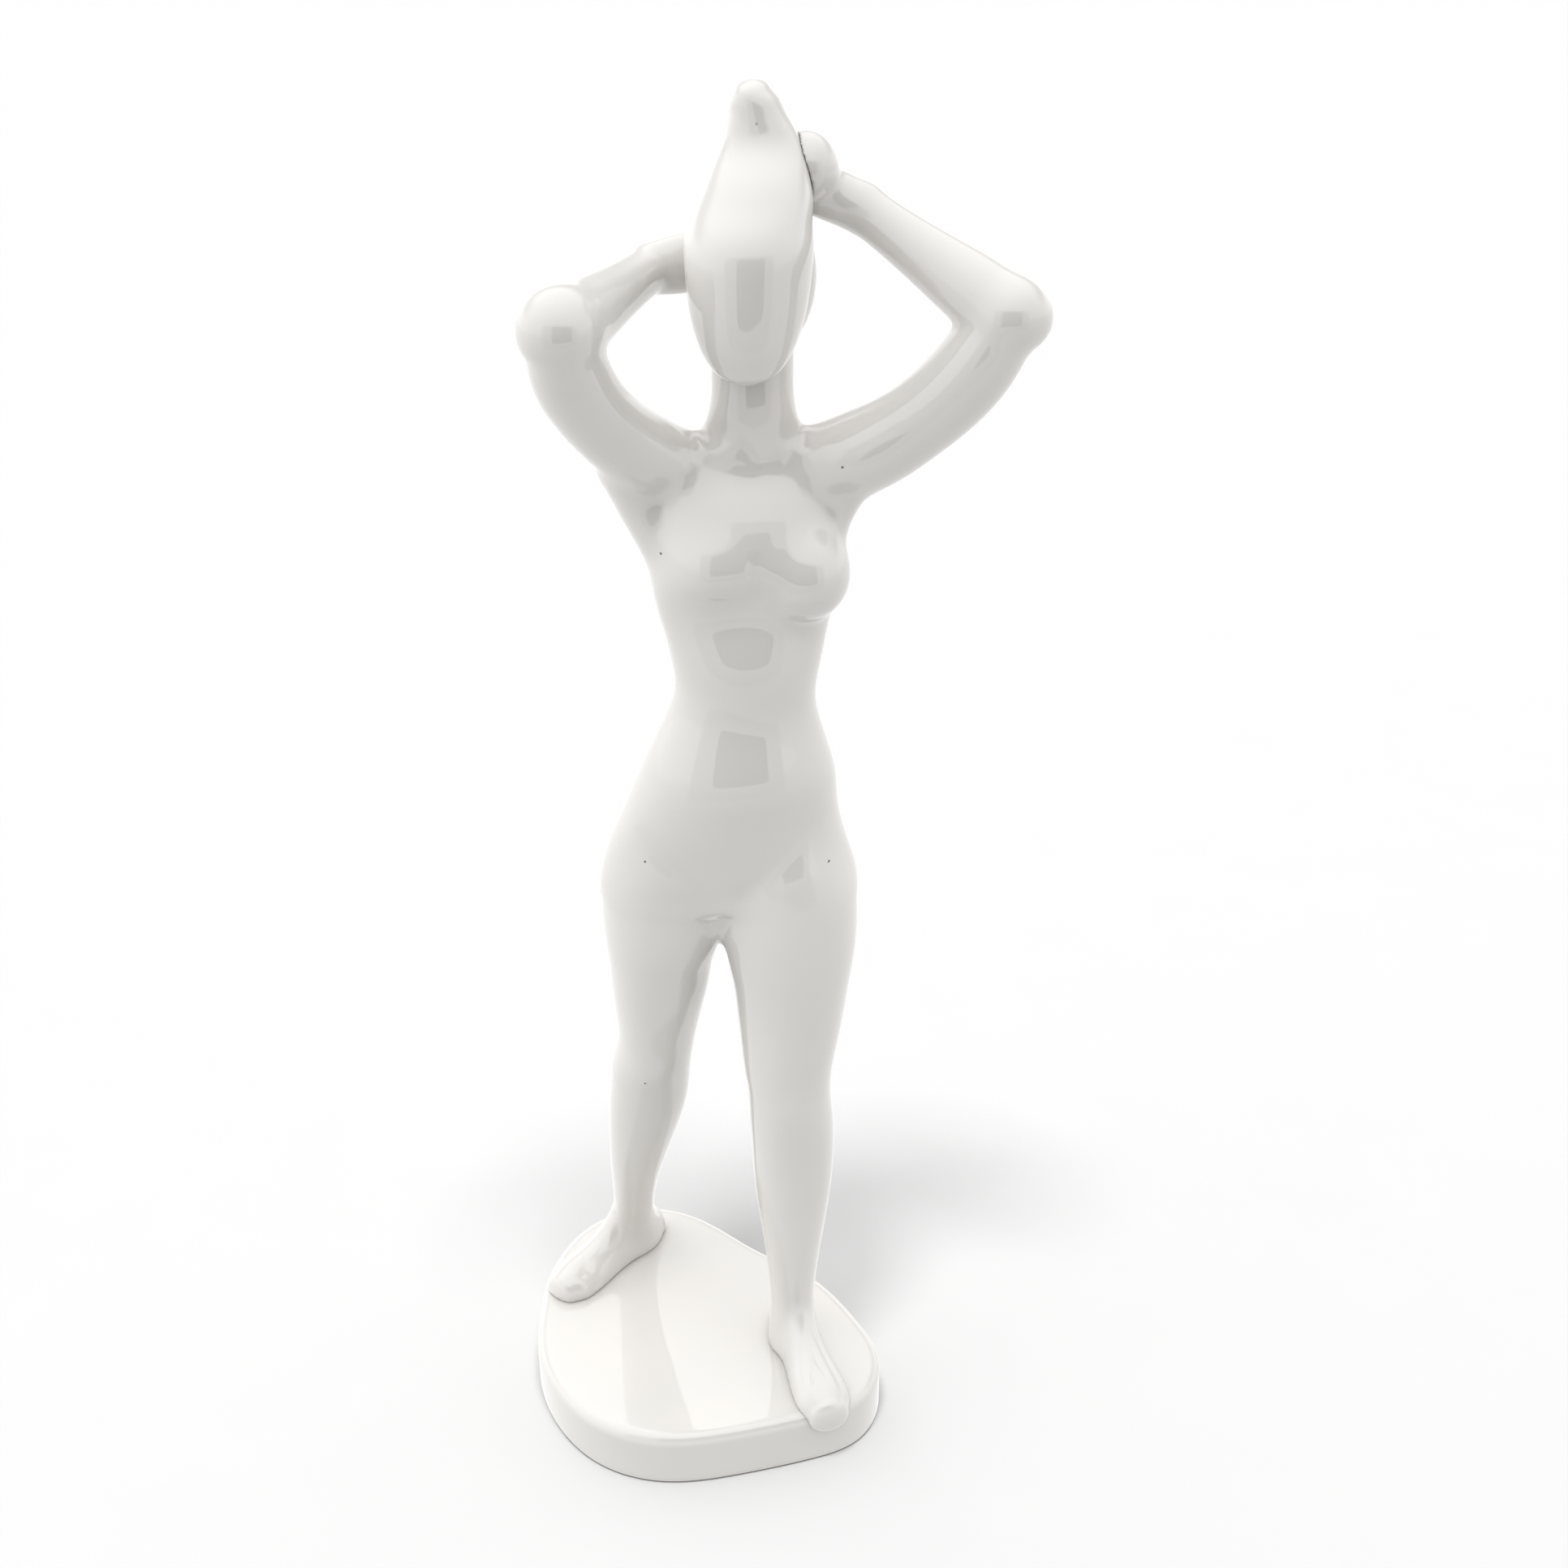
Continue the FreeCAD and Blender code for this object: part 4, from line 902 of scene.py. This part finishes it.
def glaze_material():
    """White porcelain under a clear glaze, with faint shifts of colour, iron specks, pooled glaze and
    painted shade where surfaces are near, and a bare foot rim darkened as a painted contact shadow.
    """
    material, tree = new_tree("white_glaze")
    where = node(tree, "ShaderNodeTexCoord").outputs["Object"]
    place = node(tree, "ShaderNodeSeparateXYZ", {0: where})
    cloud, fine = noise(tree, CLOUD_SCALE, 3, where), noise(tree, FINE_SCALE, 2, where)
    colour = mix_colours(tree, ramp(tree, cloud, 0.35, 0.65), WARM_WHITE, COOL_WHITE)
    near = node(tree, "ShaderNodeAmbientOcclusion", {"Distance": POOL_AND_SHADE_REACH * MM}, samples=6)
    # darkens the colour where the occlusion node finds near surfaces: partly pooled glaze, partly painted
    # shade
    colour = mix_colours(tree, ramp(tree, near.outputs["AO"], 0.9, 0.3), colour, POOLED_GLAZE_AND_PAINTED_SHADE)
    colour = mix_colours(tree, speck_mask(tree, where, place), colour, IRON)
    waves = calc(tree, "ADD", calc(tree, "MULTIPLY", cloud, 0.8), calc(tree, "MULTIPLY", fine, 0.06))
    glazed = node(tree, "ShaderNodeBsdfPrincipled", {
        "Base Color": colour, "Roughness": ramp(tree, fine, 0.3, 0.7, 0.025, 0.05), "IOR": GLAZE_IOR,
        "Normal": bump(tree, waves, 0.35, 0.25)})
    # the bare foot rim, dark as a painted contact shadow
    bare_and_shadowed = node(tree, "ShaderNodeBsdfPrincipled", {
        "Base Color": BARE_CLAY_AND_CONTACT_SHADOW, "Roughness": 0.8, "Normal": bump(tree, fine, 0.5, 0.2)})
    rim = ramp(tree, place.outputs[2], MIDDLE.z + RIM_GLAZED * MM, MIDDLE.z + RIM_BARE_AND_SHADOWED * MM)
    both = mix_shaders(tree, rim, glazed.outputs[0], bare_and_shadowed.outputs[0])
    node(tree, "ShaderNodeOutputMaterial", {"Surface": both})
    return material


def glaze_everything():
    """Gives the glaze to every casting and to the CAD nodes that the castings stand for."""
    glaze = glaze_material()
    for thing in bpy.context.scene.objects:
        if thing.type == "MESH":
            thing.data.materials.clear()
            thing.data.materials.append(glaze)


glaze_everything()

# ---------------------------------------------------------------- stage, light and camera

# How bright the light tent is where the glaze mirrors it: overhead, on its walls, low on its back wall, on
# the floor, in its open front, and on the dark shape of the room in that opening.
TOP_GLOSS, WALL_GLOSS, BACK_GLOSS, FLOOR_GLOSS, OPENING_GLOSS, DARK_GLOSS = 2.3, 1.95, 0.75, 1.25, 0.95, 0.1
# How bright the floor and the opening are for the porcelain under the glaze.
FLOOR_BOUNCE, OPENING_BOUNCE = 0.82, 0.6
FLOOR_TONES = (0.47, 0.47, 0.47, 1), (0.48, 0.48, 0.48, 1)
FLOOR_GLOW = 0.03            # what the floor shows even in full shadow
PAPER_SCALE = 900
FLOOR_SIZE = 24000
BACKGROUND = 1.1
DOME_LOW, DOME_HIGH = 0.42, 0.8
SIDE_LIGHT, SIDE_MIDDLE, REAR_LIGHT = 1.7, 0.15, 1.15
OPENING_AT = (78, -342)      # side and back of its middle
OPENING_WIDE, OPENING_LOW, OPENING_HIGH, OPENING_CORNER = 700, 50, 420, 60
OPENING_MARGIN = 40
DARK_UP, DARK_HALF, DARK_CORNER = 270, (170, 120), 30
SOFT_EDGE = 3
SUNS = [  # name, strength, direction, angle, what it lights
    ("key", 0.5, (0.10, 0.22, -0.93), 45, "lit_figure"),
    ("fill", 0.5, (-0.20, 0.20, -0.93), 45, "lit_figure"),
    ("floor_key", 1.75, (0.11, 0.24, -0.93), 10, "lit_floor"),
    ("floor_fill", 1.2, (-0.13, 0.23, -0.93), 10, "lit_floor"),
]
CAMERA_PLACE = (18.53, -341.65, 335.12)
CAMERA_DOWN = 27
CAMERA_LENS, SENSOR = 41.606, 36


def stage_plane(name, size_x, size_y, place, turn_x=0.0):
    """A plane that isn't part of the object."""
    bpy.ops.mesh.primitive_plane_add(size=1)
    made = bpy.context.object
    made.name = name
    made.scale = (size_x * MM, size_y * MM, 1)
    made.rotation_euler = (turn_x, 0, 0)
    made.location = MIDDLE + Vector(place) * MM
    return made


def floor_material():
    """Matt white paper, which the glaze mirrors as an even white and which lights the figure from below."""
    material, tree = new_tree("floor_paper")
    ray = node(tree, "ShaderNodeLightPath")
    tone = mix_colours(tree, noise(tree, PAPER_SCALE, 3), *FLOOR_TONES)
    paper = node(tree, "ShaderNodeBsdfDiffuse", {"Color": tone})
    glow, mirrored, bounced = (
        node(tree, "ShaderNodeEmission", {"Strength": level}).outputs[0]
        for level in (FLOOR_GLOW, FLOOR_GLOSS, FLOOR_BOUNCE))
    seen = node(tree, "ShaderNodeAddShader", {0: paper.outputs[0], 1: glow}).outputs[0]
    seen = mix_shaders(tree, ray.outputs["Is Glossy Ray"], seen, mirrored)
    seen = mix_shaders(tree, ray.outputs["Is Diffuse Ray"], seen, bounced)
    node(tree, "ShaderNodeOutputMaterial", {"Surface": seen})
    return material


def opening_material():
    """The open front of the light tent, with the dark shape of the room in it."""
    material, tree = new_tree("tent_opening")
    ray = node(tree, "ShaderNodeLightPath")
    where = node(tree, "ShaderNodeNewGeometry").outputs["Position"]
    place = node(tree, "ShaderNodeSeparateXYZ", {0: where})

    def inside(up, half, corner):
        """1 inside a rounded rectangle of the x-z plane, 0 outside."""
        overs = []
        middle = MIDDLE + Vector((OPENING_AT[0], 0, up)) * MM
        for axis, reach in zip((0, 2), half):
            off = calc(tree, "ABSOLUTE", calc(tree, "SUBTRACT", place.outputs[axis], middle[axis]))
            overs.append(calc(tree, "MAXIMUM", calc(tree, "SUBTRACT", off, (reach - corner) * MM), 0.0))
        return ramp(tree, length(tree, *overs), (corner + SOFT_EDGE) * MM, (corner - SOFT_EDGE) * MM)

    dark = inside(DARK_UP, DARK_HALF, DARK_CORNER)
    half = OPENING_WIDE / 2, (OPENING_HIGH - OPENING_LOW) / 2
    opening = inside((OPENING_LOW + OPENING_HIGH) / 2, half, OPENING_CORNER)
    mirrored = ramp(tree, dark, 0, 1, OPENING_GLOSS, DARK_GLOSS)
    level = mix(tree, ray.outputs["Is Glossy Ray"], OPENING_BOUNCE, mirrored)
    glow = node(tree, "ShaderNodeEmission", {"Strength": level})
    clear = node(tree, "ShaderNodeBsdfTransparent")
    both = mix_shaders(tree, opening, clear.outputs[0], glow.outputs[0])
    node(tree, "ShaderNodeOutputMaterial", {"Surface": both})
    return material


def make_world():
    """A white light tent, which the glaze mirrors brighter than it lights the porcelain."""
    world = bpy.data.worlds.new("tent")
    world.use_nodes = True
    tree = world.node_tree
    tree.nodes.clear()
    ray = node(tree, "ShaderNodeLightPath")
    way = node(tree, "ShaderNodeSeparateXYZ", {0: node(tree, "ShaderNodeTexCoord").outputs["Generated"]})
    side, back, up = way.outputs
    off = calc(tree, "SUBTRACT", side, SIDE_MIDDLE)
    sides = calc(tree, "MULTIPLY", calc(tree, "MULTIPLY", off, off), SIDE_LIGHT)
    rear = calc(tree, "MULTIPLY", calc(tree, "MAXIMUM", back, 0.0), REAR_LIGHT)
    soft = calc(tree, "ADD", ramp(tree, up, -0.2, 1.0, DOME_LOW, DOME_HIGH), sides)
    soft = calc(tree, "ADD", soft, rear)
    low = calc(tree, "MULTIPLY", ramp(tree, up, 0.70, 0.50), ramp(tree, up, 0.2, 0.4))
    behind = calc(tree, "MULTIPLY", ramp(tree, back, 0.0, 0.5), low)
    gloss = mix(tree, behind, ramp(tree, up, 0.5, 1.0, WALL_GLOSS, TOP_GLOSS), BACK_GLOSS)
    level = mix(tree, ray.outputs["Is Glossy Ray"], soft, gloss)
    level = mix(tree, ray.outputs["Is Camera Ray"], level, BACKGROUND)
    glow = node(tree, "ShaderNodeBackground", {"Strength": level})
    node(tree, "ShaderNodeOutputWorld", {"Surface": glow.outputs[0]})
    bpy.context.scene.world = world


def make_suns(lit):
    """Wide suns for the figure and narrow ones for the floor, linked to the collection that each lights."""
    for name, strength, way, angle, receiver in SUNS:
        data = bpy.data.lights.new(name, "SUN")
        data.energy = strength
        data.angle = math.radians(angle)
        sun = bpy.data.objects.new(name, data)
        bpy.context.scene.collection.objects.link(sun)
        sun.rotation_euler = Vector(way).to_track_quat("-Z", "Y").to_euler()
        sun.visible_glossy = False
        sun.light_linking.receiver_collection = lit[receiver]


def make_stage():
    floor = stage_plane("floor", FLOOR_SIZE, FLOOR_SIZE, (0, 0, 0))
    floor.data.materials.append(floor_material())
    size = OPENING_WIDE + OPENING_MARGIN, OPENING_HIGH + OPENING_MARGIN
    opening = stage_plane("tent_opening", *size, (*OPENING_AT, OPENING_HIGH / 2), math.radians(90))
    opening.data.materials.append(opening_material())
    opening.visible_camera = False
    opening.visible_shadow = False
    make_world()
    lit = {name: bpy.data.collections.new(name) for name in ("lit_figure", "lit_floor")}
    for thing in bpy.context.scene.objects:
        if thing.type == "MESH":
            lit["lit_floor" if thing == floor else "lit_figure"].objects.link(thing)
    make_suns(lit)


def make_camera():
    data = bpy.data.cameras.new("camera")
    data.lens = CAMERA_LENS
    data.sensor_width = SENSOR
    camera = bpy.data.objects.new("camera", data)
    bpy.context.scene.collection.objects.link(camera)
    camera.location = MIDDLE + Vector(CAMERA_PLACE) * MM
    camera.rotation_euler = (math.radians(90 - CAMERA_DOWN), 0, 0)
    bpy.context.scene.camera = camera
    bpy.context.scene.view_settings.view_transform = "Standard"


make_stage()
make_camera()
